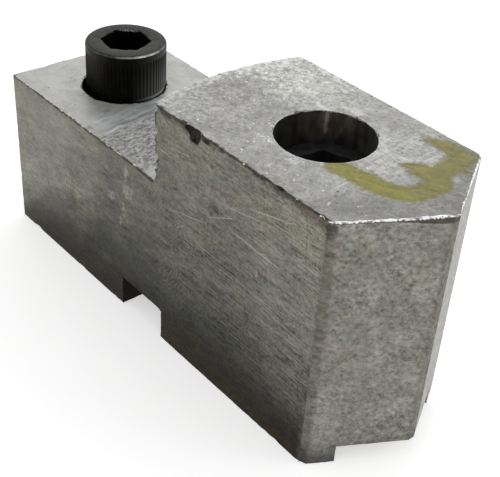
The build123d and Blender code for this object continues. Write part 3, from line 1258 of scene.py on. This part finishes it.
def side_skin(board, place, flat, lines, mottle, busy):
    """The side's scoured skin, with rusty and mossy tints high up. Gives its colour and its texture."""
    x, y, z = board.split(place)
    patches = board.clouds(board.join(board.times(x, 0.7), z, y), 0.22, detail=3.0)
    smears = board.clouds(board.drawn_out(flat, -0.3, 4.0), 0.5, detail=4.0, roughness=0.6)
    specks = board.group(grain, Place=flat, Size=0.55)
    texture = board.plus(
        board.swing(lines, busy, board.fade(z, 26.0, 42.0, 0.42, 0.26)),
        board.swing(mottle, busy, board.fade(z, 26.0, 42.0, 0.58, 0.85)),
        board.swing(specks, busy, 0.42), board.swing(patches, 0.45), board.swing(smears, 0.5),
    )
    texture = board.times(texture, board.fade(z, 6.0, 46.0, 2.7, 1.65))
    texture = board.times(texture, board.fade(x, -44.0, -24.0, 0.74, 1.0))
    colour = board.mix(board.fade(board.clouds(place, 0.06, detail=2.0), 0.4, 0.6), SIDE_METAL, GREENER_METAL)
    stretched = board.join(board.times(x, 0.45), z, y)
    stained = board.times(board.fade(z, 20.0, 44.0), board.fade(x, -34.0, -2.0, 0.35, 1.0))
    rusty = board.times(board.fade(board.clouds(stretched, 0.33, detail=3.0), 0.5, 0.66), stained)
    mossy = board.times(board.fade(board.clouds(board.shifted(stretched, 90.0), 0.3), 0.52, 0.68), stained)
    colour = board.mix(board.times(rusty, 0.7), colour, SIDE_RUST)
    colour = board.mix(board.times(mossy, 0.7), colour, SIDE_MOSS)
    return board.scaled(colour, board.plus(1.0, texture)), texture


def side_scratches(board, place, flat, colour, busy):
    """The colour with fine scratches all over, and where the dark ones are."""
    x, _, z = board.split(place)
    pale_ones = scattered(board, flat, SIDE_PALE_SCRATCHES)
    scored = board.times(
        board.fade(x, -4.0, 10.0, 0.2, 1.0), board.fade(board.clouds(place, 0.1), 0.38, 0.6, 0.45, 1.0),
        board.fade(z, 22.0, 40.0, 0.6, 1.0),
    )
    colour = board.mix(board.times(pale_ones, scored, 0.66), colour, (0.33, 0.31, 0.27))
    dark_ones = scattered(board, flat, SIDE_DARK_SCRATCHES)
    share = board.times(dark_ones, busy, board.fade(z, 22.0, 40.0, 0.25, 0.4))
    return board.mix(share, colour, (0.075, 0.068, 0.054)), dark_ones


def side_marks(board, drawn, colour, near_side):
    """The colour with the near side's single marks, and where the bright scratches among them are."""
    x, z, _ = board.split(drawn)
    bright_marks = drawn_scratches(board, drawn, SIDE_BRIGHT_MARKS)
    colour = board.mix(board.times(bright_marks, near_side, 0.85), colour, (0.38, 0.365, 0.32))
    dark_marks = drawn_scratches(board, drawn, SIDE_DARK_MARKS)
    colour = board.mix(board.times(dark_marks, near_side, 0.6), colour, (0.06, 0.056, 0.045))
    spots = drawn_smudges(board, drawn, SIDE_SPOTS, 0.8)
    colour = board.mix(board.times(spots, near_side, 0.55), colour, (0.065, 0.062, 0.05))

    wriggles = board.apart(board.clouds(drawn, 0.62, detail=4.0, roughness=0.65), 0.5)
    broken = board.fade(board.clouds(board.shifted(drawn, 7.0), 0.8), 0.32, 0.48)
    chain_zone = drawn_smudges(board, drawn, WRIGGLE_SPOTS, 1.4)
    chain = board.times(board.fall(wriggles, 0.02, 0.09), chain_zone, broken)
    colour = board.mix(board.times(chain, near_side, 0.9), colour, (0.42, 0.41, 0.36))
    rounds = board.plus(board.reach(x, z, *SWIRL_CENTRE), board.times(board.clouds(drawn, 0.3), 2.0))
    arcs = board.times(
        board.fade(board.maths("SINE", board.times(rounds, 6.6)), 0.0, 0.9),
        board.fade(board.clouds(drawn, 0.5), 0.35, 0.55),
        drawn_smudges(board, drawn, [SWIRL_SPOT], 0.6), near_side,
    )
    return board.mix(board.times(arcs, 0.55), colour, (0.36, 0.355, 0.31)), bright_marks


def side_shade(board, x, z):
    """How bright the side is painted: darkest at the feet as painted shade, and at the rear darker below a
    ragged boundary and paler above it.
    """
    at_foot = board.plus(
        board.fade(z, 0.0, 39.0, 0.01, 0.86), board.fade(z, 34.0, 52.0, 0.0, 0.19),
        board.fade(x, -14.0, 2.0, 0.03, 0.0),
        board.times(board.fade(x, 24.0, 46.0), board.fade(z, 4.0, 16.0), 0.27),
    )
    ragged = board.clouds(board.join(x, z), 0.12, detail=4.0, roughness=0.6)
    boundary = board.plus(board.fade(x, -66.0, -38.0, 0.0, 18.5), board.swing(ragged, 7.0))
    above = board.less(z, boundary)
    at_rear = board.plus(
        board.fade(above, -14.0, -1.0, 0.24, 0.72), board.fade(above, -2.4, 3.4, 0.0, 0.68),
        board.fade(z, 0.0, 9.0, -0.18, 0.0),
    )
    rear_share = board.fall(board.plus(x, board.swing(ragged, 40.0)), -42.0, -16.0)
    return board.between(rear_share, at_foot, at_rear)


def side_edges(board, place, drawn, colour, texture, waver):
    """The colour with dirt along the upper edges and the curved wall's edge, and painted shade on the rounded
    corner at the pointed end.
    """
    x, z, _ = board.split(drawn)
    on_tall = board.fade(x, *STEP_UP)
    below_top = board.less(board.fade(x, *STEP_UP, step_height, top_face), z)
    width = board.plus(
        1.1, board.times(board.fade(x, 8.0, 15.0, 0.8, 0.0), on_tall), board.fade(x, 30.0, 46.0, 0.0, 1.8)
    )
    band = board.fall(board.plus(below_top, waver), board.times(width, 0.3), board.times(width, 1.1))
    line_width = board.plus(board.fade(x, -9.0, -4.0, 0.45, 0.9), board.fade(x, *STEP_UP, 0.0, -0.3))
    line_gap = board.plus(below_top, board.times(waver, 0.3))
    line = board.fall(line_gap, board.times(line_width, 0.6), line_width)
    wall_edge = board.times(
        board.fall(board.plus(x, board.times(waver, 0.4)), tall_start + 0.3, tall_start + 1.1),
        on_tall, board.fade(z, step_height, step_height + 3.0),
    )
    dirty = strongest(board, [
        board.times(band, board.fade(x, 30.0, 46.0, 0.85, 0.65), board.between(on_tall, 0.25, 1.0)),
        board.times(line, 0.92), board.times(wall_edge, 0.6),
    ])
    colour = board.mix(dirty, colour, board.scaled(DIRT, board.plus(1.0, texture)))
    # Painted shade on the rounded corner at the pointed end
    corner_waver = board.times(board.clouds(place, 0.7, detail=4.0, roughness=0.7), 2.0)
    corner = board.fade(board.plus(x, corner_waver), shoulder - 1.2, shoulder + 1.0, 0.0, 0.7)
    colour = board.mix(corner, colour, board.scaled(CORNER_SHADE, board.plus(1.0, texture)))
    crumbled = drawn_smudges(board, drawn, [(shoulder - 0.3, 56.6, 1.3, 2.4)], 1.6)
    return board.mix(board.times(crumbled, 0.85), colour, DIRT)


def chip_mask(board, drawn, waver):
    """Where the top edge's chip shows on the side: a notch between two slants, and a small one beside it."""
    x, z, _ = board.split(drawn)
    left = board.plus(board.times(board.less(x, 7.6), 0.745), board.times(board.less(z, top_face), 0.668))
    right = board.plus(board.times(board.less(x, 13.8), -0.88), board.times(board.less(z, top_face), 0.47))
    inside = board.maths("MINIMUM", board.maths("MINIMUM", left, right), board.plus(z, 2.9 - top_face))
    inside = board.plus(inside, board.times(waver, 0.1))
    small = drawn_smudges(board, drawn, [(15.0, 57.7, 1.4, 0.8)], 0.5)
    return strongest(board, [board.fade(inside, -0.15, 0.2), small])


def side_finish():
    """The two long faces: dull and dirty, scoured along the bar, and darker towards the feet as painted
    shade.
    """
    finish, board, shader = new_finish("scoured_side", METAL_SHARE, shine=0.17)
    place = board.place()
    x, y, z = board.split(place)
    flat = board.join(board.plus(x, board.times(y, 7.3)), z, y)
    drawn = board.join(x, z)
    near_side = board.maths("LESS_THAN", y, 0.0)
    lines = cut_lines(board, flat, angle=0.03, length=8.0, width=0.4, softness=0.16)
    mottle = board.clouds(board.join(board.times(x, 0.6), z, y), 0.75, detail=5.0, roughness=0.72)
    busy = board.fade(x, -10.0, 8.0, 0.62, 1.0)
    colour, texture = side_skin(board, place, flat, lines, mottle, busy)
    colour, dark_ones = side_scratches(board, place, flat, colour, busy)
    colour, bright_marks = side_marks(board, drawn, colour, near_side)
    # Painted shade, darkest at the feet
    colour = board.scaled(colour, side_shade(board, x, z))
    # Painted shade: a warm dark tint towards the feet
    foot_shade = board.scaled(FOOT_SHADE, board.plus(1.0, board.times(texture, 1.8)))
    colour = board.mix(board.fade(z, 0.0, 15.0, 0.65, 0.0), colour, foot_shade)

    waver = board.plus(
        board.swing(board.clouds(place, 0.3), 2.8),
        board.swing(board.clouds(place, 0.9, detail=4.0, roughness=0.65), 2.4),
    )
    colour = side_edges(board, place, drawn, colour, texture, waver)
    chip_colour = board.mix(board.fade(board.clouds(place, 0.8), 0.52, 0.6), CHIP_DARK, CHIP_PALE)
    colour = board.mix(board.times(chip_mask(board, drawn, waver), near_side, 0.98), colour, chip_colour)
    knocked_in = board.fade(board.stored("nick_depth"), 0.08, 0.25)
    colour = board.mix(board.times(knocked_in, board.fade(x, *STEP_UP), 0.8), colour, board.scaled(DIRT, 0.7))
    height = board.plus(lines, mottle, board.times(dark_ones, -1.0), board.times(bright_marks, -1.5))
    dress(board, shader, colour, board.between(lines, 0.45, 0.62), height, 0.012)
    return finish


# The rear face

REAR_METAL = (0.165, 0.162, 0.14)
REAR_SCRATCHES = [(0.5, 10.0, 1.7, 0.2, 0.45, 3.0)]


def rear_finish():
    """The rear face, sawn square and scoured across."""
    finish, board, shader = new_finish("sawn_rear", METAL_SHARE)
    place = board.place()
    x, y, z = board.split(place)
    flat = board.join(y, z, x)
    lines = cut_lines(board, flat, angle=0.1, length=10.0, width=0.5, softness=0.12)
    crossing = cut_lines(board, flat, angle=-0.6, length=4.0, width=0.4, softness=0.12)
    broad = board.clouds(place, 0.09, detail=3.0)
    level = board.plus(0.55, board.times(lines, 0.35), board.times(crossing, 0.2), board.times(broad, 0.7))
    marks = scattered(board, flat, REAR_SCRATCHES)
    colour = board.mix(board.times(marks, 0.55), board.scaled(REAR_METAL, level), grey(0.36, 0.1))
    # Painted shade: darker towards the feet
    colour = board.scaled(colour, board.fade(z, 0.0, 18.0, 0.35, 1.0))
    colour = board.mix(board.times(worn_line(board, place, 0.4, 0.4), 0.6), colour, DIRT)
    height = board.plus(lines, board.times(marks, -0.8))
    dress(board, shader, colour, board.between(lines, 0.42, 0.62), height, 0.02)
    return finish


# The two slanted faces at the tip

# The slants' tones are partly their own and partly painted shade, since they face away from the light.
SLANT_DARKER = (0.204, 0.201, 0.178)
SLANT_PALER = (0.276, 0.274, 0.247)
SLANT_RUST = (0.25, 0.216, 0.19)
SLANT_MOSS = (0.222, 0.225, 0.17)
# The slants' rounded corners, darkened as painted shade
SLANT_CORNER_SHADE = (0.11, 0.105, 0.078)
# The far slant's paler tone: painted light, as that face is lit
FAR_SLANT_LIT = grey(0.36, 0.06)
SLANT_SCRATCHES = [(0.02, 6.0, 1.3, 0.18, 0.25, 5.0)]
SLANT_MARKS = [(10.5, 53.7, 0.0, 10.5, 0.3), (13.5, 30.8, -1.0, 7.5, 0.28), (12.5, 33.2, -1.0, 6.0, 0.2)]


def slant_skin(board, flat, z, leaning, mottle, speckle, patches):
    """The mottled, tinted grain. Gives its colour and its texture."""
    texture = board.plus(
        board.swing(mottle, 1.7), board.swing(speckle, 0.4), board.swing(board.clouds(leaning, 0.3), 0.5)
    )
    texture = board.times(texture, board.fade(board.clouds(flat, 0.14), 0.38, 0.6, 1.0, 1.4))
    colour = board.mix(board.fade(patches, 0.38, 0.62), SLANT_DARKER, SLANT_PALER)
    rusty = board.fade(board.clouds(board.shifted(flat, 30.0), 0.16, detail=3.0), 0.44, 0.7)
    mossy = board.fade(board.clouds(board.shifted(flat, 0.0, 30.0), 0.15, detail=3.0), 0.44, 0.7)
    tinted = board.fade(z, 8.0, 24.0, 0.2, 0.55)
    colour = board.mix(board.times(rusty, tinted), colour, SLANT_RUST)
    colour = board.mix(board.times(mossy, tinted), colour, SLANT_MOSS)
    return board.scaled(colour, board.plus(1.0, texture)), texture


def burred_top(board, along, below_top, colour):
    """The colour with a dirty stain and a broken white burr along the top edge."""
    jagged = board.swing(board.clouds(board.join(along, 0.0, 0.0), 1.5, detail=3.0), 1.1)
    depth = board.plus(0.55, board.fade(along, 9.0, 21.0, 0.0, 1.0))
    stain = board.fall(board.plus(below_top, board.times(jagged, 0.4)), board.times(depth, 0.8), depth)
    colour = board.mix(board.times(stain, 0.85), colour, DIRT)
    unbroken = board.fade(board.clouds(board.join(along, 3.0, 0.0), 1.1, detail=3.0), 0.4, 0.5, 0.3, 1.0)
    burr = board.times(board.fall(board.plus(below_top, jagged), 0.22, 0.4), unbroken)
    return board.mix(burr, colour, grey(0.9))


def slanted_finish():
    """The slanted faces: a mottled grain with dirt in it, rounded corners darkened as painted shade, the far
    face painted paler as lit, and a white burr along the top.
    """
    finish, board, shader = new_finish("mottled_slant", METAL_SHARE)
    place = board.place()
    _, y, z = board.split(place)
    along = board.times(board.less(side_face, board.size(y)), 1 / math.sin(tip_angle / 2))
    flat = board.join(along, z, board.times(board.maths("SIGN", y), 40.0))
    leaning = board.drawn_out(flat, 0.6, 1.25)
    mottle = board.clouds(leaning, 0.92, detail=4.0, roughness=0.7)
    speckle = board.group(grain, Place=board.shifted(flat, 0.0, 70.0), Size=0.8)
    patches = board.clouds(flat, 0.17, detail=4.0, roughness=0.6)
    colour, texture = slant_skin(board, flat, z, leaning, mottle, speckle, patches)
    drawn_ones = drawn_scratches(board, flat, SLANT_MARKS)
    pale = strongest(board, [scattered(board, flat, SLANT_SCRATCHES), drawn_ones])
    colour = board.mix(board.times(pale, 0.5), colour, (0.42, 0.4, 0.36))
    pits = board.group(flecks, Place=flat, Size=1.5, Cover=0.22)
    colour = board.mix(board.times(pits, 0.55), colour, (0.075, 0.068, 0.05))

    below_top = board.less(top_face, z)
    colour = burred_top(board, along, below_top, colour)
    # Painted shade on the rounded corners at both ends of each slant
    corner_waver = board.clouds(place, 0.7, detail=3.0, roughness=0.65)
    near_corner = board.fade(board.plus(along, board.times(corner_waver, 2.4)), 1.5, 3.3, 0.68, 0.0)
    corner = strongest(board, [near_corner, board.fade(along, 20.6, 21.9, 0.0, 0.4)])
    corner = board.times(corner, board.fade(below_top, 0.8, 1.6))
    colour = board.mix(corner, colour, board.scaled(SLANT_CORNER_SHADE, board.plus(1.0, texture)))
    crumbled = drawn_smudges(board, flat, [(0.0, 56.8, 1.3, 2.2)], 1.6)
    colour = board.mix(board.times(crumbled, board.fade(below_top, 0.3, 0.8), 0.8), colour, DIRT)
    # Painted shade: darker towards the feet
    colour = board.scaled(colour, board.fade(z, 0.0, 8.0, 0.3, 1.0))
    # Painted light: the far slanted face made paler, as it is lit
    far_lit_colour = board.scaled(FAR_SLANT_LIT, board.plus(1.0, board.times(texture, 1.3)))
    colour = board.mix(board.fade(y, 0.7, 1.6, 0.0, 0.8), colour, far_lit_colour)
    height = board.plus(mottle, speckle, board.times(pits, -1.5))
    dress(board, shader, colour, board.between(patches, 0.5, 0.68), height, 0.015)
    return finish


# The screw holes and the underside

# The bore's near-black is painted shade; its lit patch, glow and glint are painted light
BORE_SHADE = (0.021, 0.0205, 0.0185)
BORE_LIT = (0.05, 0.044, 0.036)
BORE_GLOW = (0.38, 0.3, 0.245)
BORE_GLINT = (0.32, 0.25, 0.2)
# Where the front bore's painted highlight streak and the side of its wall painted lighter as lit lie, in
# radians round it
GLINT_TURN = 2.34
LIT_WALL_TURN = 0.9
UNDERSIDE_METAL = (0.13, 0.126, 0.108)
# Near-black for the painted shade in the cross slot
SLOT_SHADE = (0.008, 0.005, 0.005)
UNDERSIDE_SCRATCHES = [(0.4, 10.0, 1.8, 0.2, 0.4, 8.0)]


def bore_finish():
    """The walls of the screw holes, bored in rings and painted near-black as shade, with painted light on the
    front bore's far wall: a lit patch, a lighter side, a glow and a highlight streak.
    """
    finish, board, shader = new_finish("shaded_bore", 0.2, shine=0.1)
    place = board.place()
    x, y, z = board.split(place)
    rings = board.clouds(board.join(board.times(x, 0.05), board.times(y, 0.05), z), 2.5)
    stains = board.clouds(board.join(x, y, board.times(z, 0.4)), 0.4, detail=4.0)
    turn = board.maths("ARCTAN2", y, board.less(x, front_hole))
    # Painted light on the front bore's wall: a lit patch high on the far side, a lighter side, a glow and a
    # highlight streak
    high_up = board.fade(board.plus(z, board.times(stains, 5.0)), 51.0, 58.0)
    lit = board.times(high_up, board.fall(board.apart(turn, GLINT_TURN), 0.1, 0.8))
    lit_wall = board.fade(board.apart(turn, LIT_WALL_TURN), 0.3, 1.4, 1.9, 1.0)
    colour = board.mix(lit, board.scaled(BORE_SHADE, lit_wall), BORE_LIT)
    unrolled = board.join(board.times(turn, counterbore_radius), z)
    glint = GLINT_TURN * counterbore_radius
    glow = drawn_smudges(board, unrolled, [(glint - 2.4, top_face - 2.0, 5.2, 4.8)], 0.6)
    colour = board.mix(board.times(glow, 0.16), colour, BORE_GLOW)
    streaks = [(glint, top_face - 1.8, 0.55, 3.0), (glint + 0.1, top_face - 4.2, 0.6, 1.4)]
    glints = board.times(drawn_smudges(board, unrolled, streaks, 0.9), board.fade(stains, 0.4, 0.6, 0.2, 0.7))
    colour = board.mix(glints, colour, BORE_GLINT)
    level = board.plus(0.2, board.times(rings, 0.4), board.fade(stains, 0.35, 0.65, 0.2, 1.2))
    colour = board.scaled(colour, level)
    colour = board.mix(board.times(worn_line(board, place, 0.3, 0.4), 0.8), colour, grey(0.6))
    dress(board, shader, colour, board.between(rings, 0.35, 0.5), rings, 0.03)
    return finish


def underside_finish():
    """The feet, the channel and the cross slot, milled and grimy, with the cross slot painted near-black as
    shade.
    """
    finish, board, shader = new_finish("milled_underside", METAL_SHARE, shine=0.1)
    place = board.place()
    x, _, _ = board.split(place)
    lines = cut_lines(board, place, angle=0.0, length=12.0, width=0.55, softness=0.12)
    broad = board.clouds(place, 0.12, detail=3.0)
    level = board.plus(0.3, board.times(lines, 0.5), board.times(broad, 0.9))
    in_slot = board.times(
        board.fade(x, cross_slot_start - 0.5, cross_slot_start - 0.1),
        board.fall(x, cross_slot_end + 0.1, cross_slot_end + 0.5),
    )
    # Painted shade: the cross slot near-black
    colour = board.mix(board.times(in_slot, 0.97), board.scaled(UNDERSIDE_METAL, level), SLOT_SHADE)
    marks = scattered(board, place, UNDERSIDE_SCRATCHES)
    colour = board.mix(board.times(marks, 0.5), colour, grey(0.33))
    height = board.plus(lines, board.times(marks, -0.8))
    dress(board, shader, colour, board.between(lines, 0.4, 0.65), height, 0.02)
    return finish


# The cap screws' finish

BLACKENED = (0.003, 0.003, 0.0022)
WORN_BLACK = (0.007, 0.0068, 0.005)
SCREW_DUST_AND_SHEEN = (0.055, 0.053, 0.043)
SETTLED_DUST = (0.026, 0.027, 0.03)
SOCKET_BLACK = (0.002, 0.002, 0.002)
# Where the head's painted highlight on its crests, its painted sheen with some dust and its socket's worn
# mouth with a painted highlight lie, in radians round its axis
LIT_CRESTS_TURN = -0.1
DUST_AND_SHEEN_TURN = -2.9
WORN_LIT_MOUTH_TURN = 1.7


def screw_finish(name, rubbing_and_light, highlight_turn, highlight_share, dust):
    """Blackened steel, worn dull grey on the head's flat, with painted highlights round one place on its rim
    and on one side's crests, a painted sheen with some dust on another side, and dust settled on it.
    """
    finish, board, shader = new_finish(name, METAL_SHARE, shine=0.03)
    place = board.place()
    x, y, z = board.split(place)
    reach = board.reach(x, y)
    turn = board.maths("ARCTAN2", y, x)
    cloud = board.clouds(place, 0.45, detail=4.0)
    fine = board.clouds(place, 2.4, detail=3.0)
    colour = board.mix(board.fade(cloud, 0.35, 0.7), BLACKENED, WORN_BLACK)
    # Painted sheen of a grazing reflection, with some dust, high on one side of the head
    dust_and_sheen_side = board.fall(board.apart(turn, DUST_AND_SHEEN_TURN), 0.2, 1.1)
    dust_and_sheen = board.times(board.fade(board.plus(z, board.times(cloud, 4.0)), 43.0, 53.0), dust_and_sheen_side)
    colour = board.mix(dust_and_sheen, colour, SCREW_DUST_AND_SHEEN)
    # Painted highlight on the crests, and below on the low band, of the lit side
    lit_side = board.fade(board.apart(turn, LIT_CRESTS_TURN), 0.1, 1.3, rubbing_and_light, 0.0)
    lit_side = board.times(lit_side, board.fade(turn, -0.35, 0.1, 1.0, 0.55))
    crests = board.fade(reach, head_radius - 0.25, head_radius, 0.22, 0.85)
    lower = board.fade(z, under_head, flutes_end + 1.0, 1.0, 0.25)
    colour = board.mix(board.times(crests, lit_side, lower), colour, grey(0.27))
    on_flat = board.times(board.fade(z, head_top - 0.15, head_top - 0.02), rubbing_and_light)
    flat_colour = board.mix(board.fade(fine, 0.4, 0.6), grey(0.009, 0.06), grey(0.036, 0.06))
    colour = board.mix(on_flat, colour, flat_colour)

    # Painted highlight round one place on the rim
    from_bright = board.apart(turn, highlight_turn)
    brightness = board.plus(
        board.fade(from_bright, 0.0, 0.3, 0.55, 0.0), board.fade(from_bright, 0.1, 1.0, 0.33, 0.0),
        board.fade(from_bright, 0.6, 2.3, 0.12, 0.0),
    )
    rim = board.times(
        board.fade(reach, head_radius - 0.6, head_radius - 0.4),
        board.fade(z, head_top - 0.55, head_top - 0.35),
        board.fade(z, head_top - 0.25, head_top - 0.1, 1.0, 0.3),
        board.fade(cloud, 0.35, 0.6, 0.3, 1.0), brightness, highlight_share,
    )
    colour = board.mix(rim, colour, grey(0.85))
    # Painted shade: the socket's inside made a little darker than the steel
    in_socket = board.times(board.fall(reach, 6.3, 6.5), board.fall(z, head_top - 0.25, head_top - 0.1))
    colour = board.mix(in_socket, colour, SOCKET_BLACK)
    # The socket's worn mouth, partly wear and partly a painted highlight on the side that faces the light
    worn_lit_mouth = board.times(
        board.fall(reach, 5.5, 5.9), board.fade(z, head_top - 0.4, head_top - 0.15),
        board.fade(fine, 0.45, 0.6),
        board.fade(board.apart(turn, WORN_LIT_MOUTH_TURN), 0.3, 0.7, 0.7, 0.0), rubbing_and_light,
    )
    colour = board.mix(worn_lit_mouth, colour, grey(0.4))
    # Painted highlight along the low band on the lit side
    low_band = board.times(
        board.fade(z, under_head + 0.3, under_head + 0.5), board.fall(z, under_head + 0.8, flutes_start)
    )
    colour = board.mix(board.times(low_band, lit_side, 0.8), colour, grey(0.5))
    colour = board.mix(board.times(board.fade(cloud, 0.3, 0.6, 0.5, 1.0), dust), colour, SETTLED_DUST)
    dress(board, shader, colour, board.between(fine, 0.32, 0.5), fine, 0.01)
    shiny = strongest(board, [on_flat, rim])
    board.feed(shader.inputs["Metallic"], board.between(shiny, 0.08, METAL_SHARE))
    return finish


# The stage

# Each lamp's place and width in metres, and its power
LAMPS = {
    "rear_window": ((-0.45, 0.45, 0.6), 0.6, 0.9),
    "side_window": ((0.45, 0.5, 0.3), 0.5, 1.2),
    "front_fill": ((0.5, -0.6, 0.6), 0.8, 0.4),
}
MIDDLE_OF_JAW = Vector((0, 0, 0.03))

# The camera's place in millimetres, the directions across and up its picture, and its lens
CAMERA_PLACE = Vector((144.62, -124.51, 154.02))
CAMERA_RIGHT = Vector((0.64049, 0.76579, 0.05769))
CAMERA_UP = Vector((-0.47352, 0.33466, 0.81473))
CAMERA_LENS = 73.75


def seen_plainly(board):
    """1 for the camera's own rays and for those mirrored or let through on their way, and 0 for others."""
    rays = board.add("ShaderNodeLightPath").outputs
    return board.plus(rays["Is Camera Ray"], rays["Is Glossy Ray"], rays["Is Transmission Ray"])


def lay_floor():
    """A wide pale floor. It looks white, and keeps the jaw's shadow."""
    shape = bmesh.new()
    bmesh.ops.create_grid(shape, x_segments=8, y_segments=8, size=3000)
    floor = loose_object("pale_floor", shape)
    floor.data.transform(Matrix.Scale(MILLIMETRE, 4))
    finish, board, shader = new_finish("pale_floor")
    shader.inputs["Base Color"].default_value = (0.8, 0.8, 0.8, 1)
    shader.inputs["Roughness"].default_value = 0.9
    shader.inputs["Emission Color"].default_value = (1, 1, 1, 1)
    board.feed(shader.inputs["Emission Strength"], board.times(seen_plainly(board), 0.5))
    floor.data.materials.append(finish)


def light_the_room():
    """A soft room that looks white to the camera, with two lamps behind the jaw and a weak one ahead."""
    world = bpy.data.worlds.new("soft_room")
    bpy.context.scene.world = world
    world.use_nodes = True
    board = Board(world.node_tree)
    background = world.node_tree.nodes["Background"]
    background.inputs["Color"].default_value = (1, 1, 1, 1)
    board.feed(background.inputs["Strength"], board.between(seen_plainly(board), 0.65, 1.0))
    for name, (place, width, power) in LAMPS.items():
        lamp = bpy.data.lights.new(name, "AREA")
        lamp.size = width
        lamp.energy = power
        hung = bpy.data.objects.new(name, lamp)
        hung.location = place
        hung.rotation_euler = (MIDDLE_OF_JAW - Vector(place)).to_track_quat("-Z", "Y").to_euler()
        bpy.context.scene.collection.objects.link(hung)


def set_camera():
    """The photograph's view of the jaw."""
    right = CAMERA_RIGHT.normalized()
    up = CAMERA_UP.normalized()
    turn = Matrix((right, up, right.cross(up))).transposed()
    camera = bpy.data.cameras.new("photograph_view")
    camera.lens = CAMERA_LENS
    camera.sensor_width = 36.0
    camera.sensor_fit = "HORIZONTAL"
    camera.clip_start = 0.01
    stand = bpy.data.objects.new("photograph_view", camera)
    stand.matrix_world = Matrix.Translation(CAMERA_PLACE * MILLIMETRE) @ turn.to_4x4()
    bpy.context.scene.collection.objects.link(stand)
    bpy.context.scene.camera = stand


worn_jaw = jaw()
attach(worn_jaw, "root")
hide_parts("jaw_body")

rear_steel = screw_finish("rubbed_black_steel", rubbing_and_light=1.0, highlight_turn=-0.95, highlight_share=1.0, dust=0.0)
# The front screw, deep in its bore, is a shaded copy of the rear one: its flat, crests and rim are painted
# dimmer as shade, and dust lies on it
front_steel = screw_finish("shaded_dusty_black_steel", rubbing_and_light=0.08, highlight_turn=0.8, highlight_share=0.45, dust=0.85)
screws = (("rear_cap_screw", 50.0, rear_steel), ("front_cap_screw", 80.0, front_steel))
for node, turn, steel in screws:
    screw = cap_screw(node, turn, steel)
    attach(screw, "root")
    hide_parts(node)

lay_floor()
light_the_room()
set_camera()
bpy.context.scene.view_settings.view_transform = "Standard"
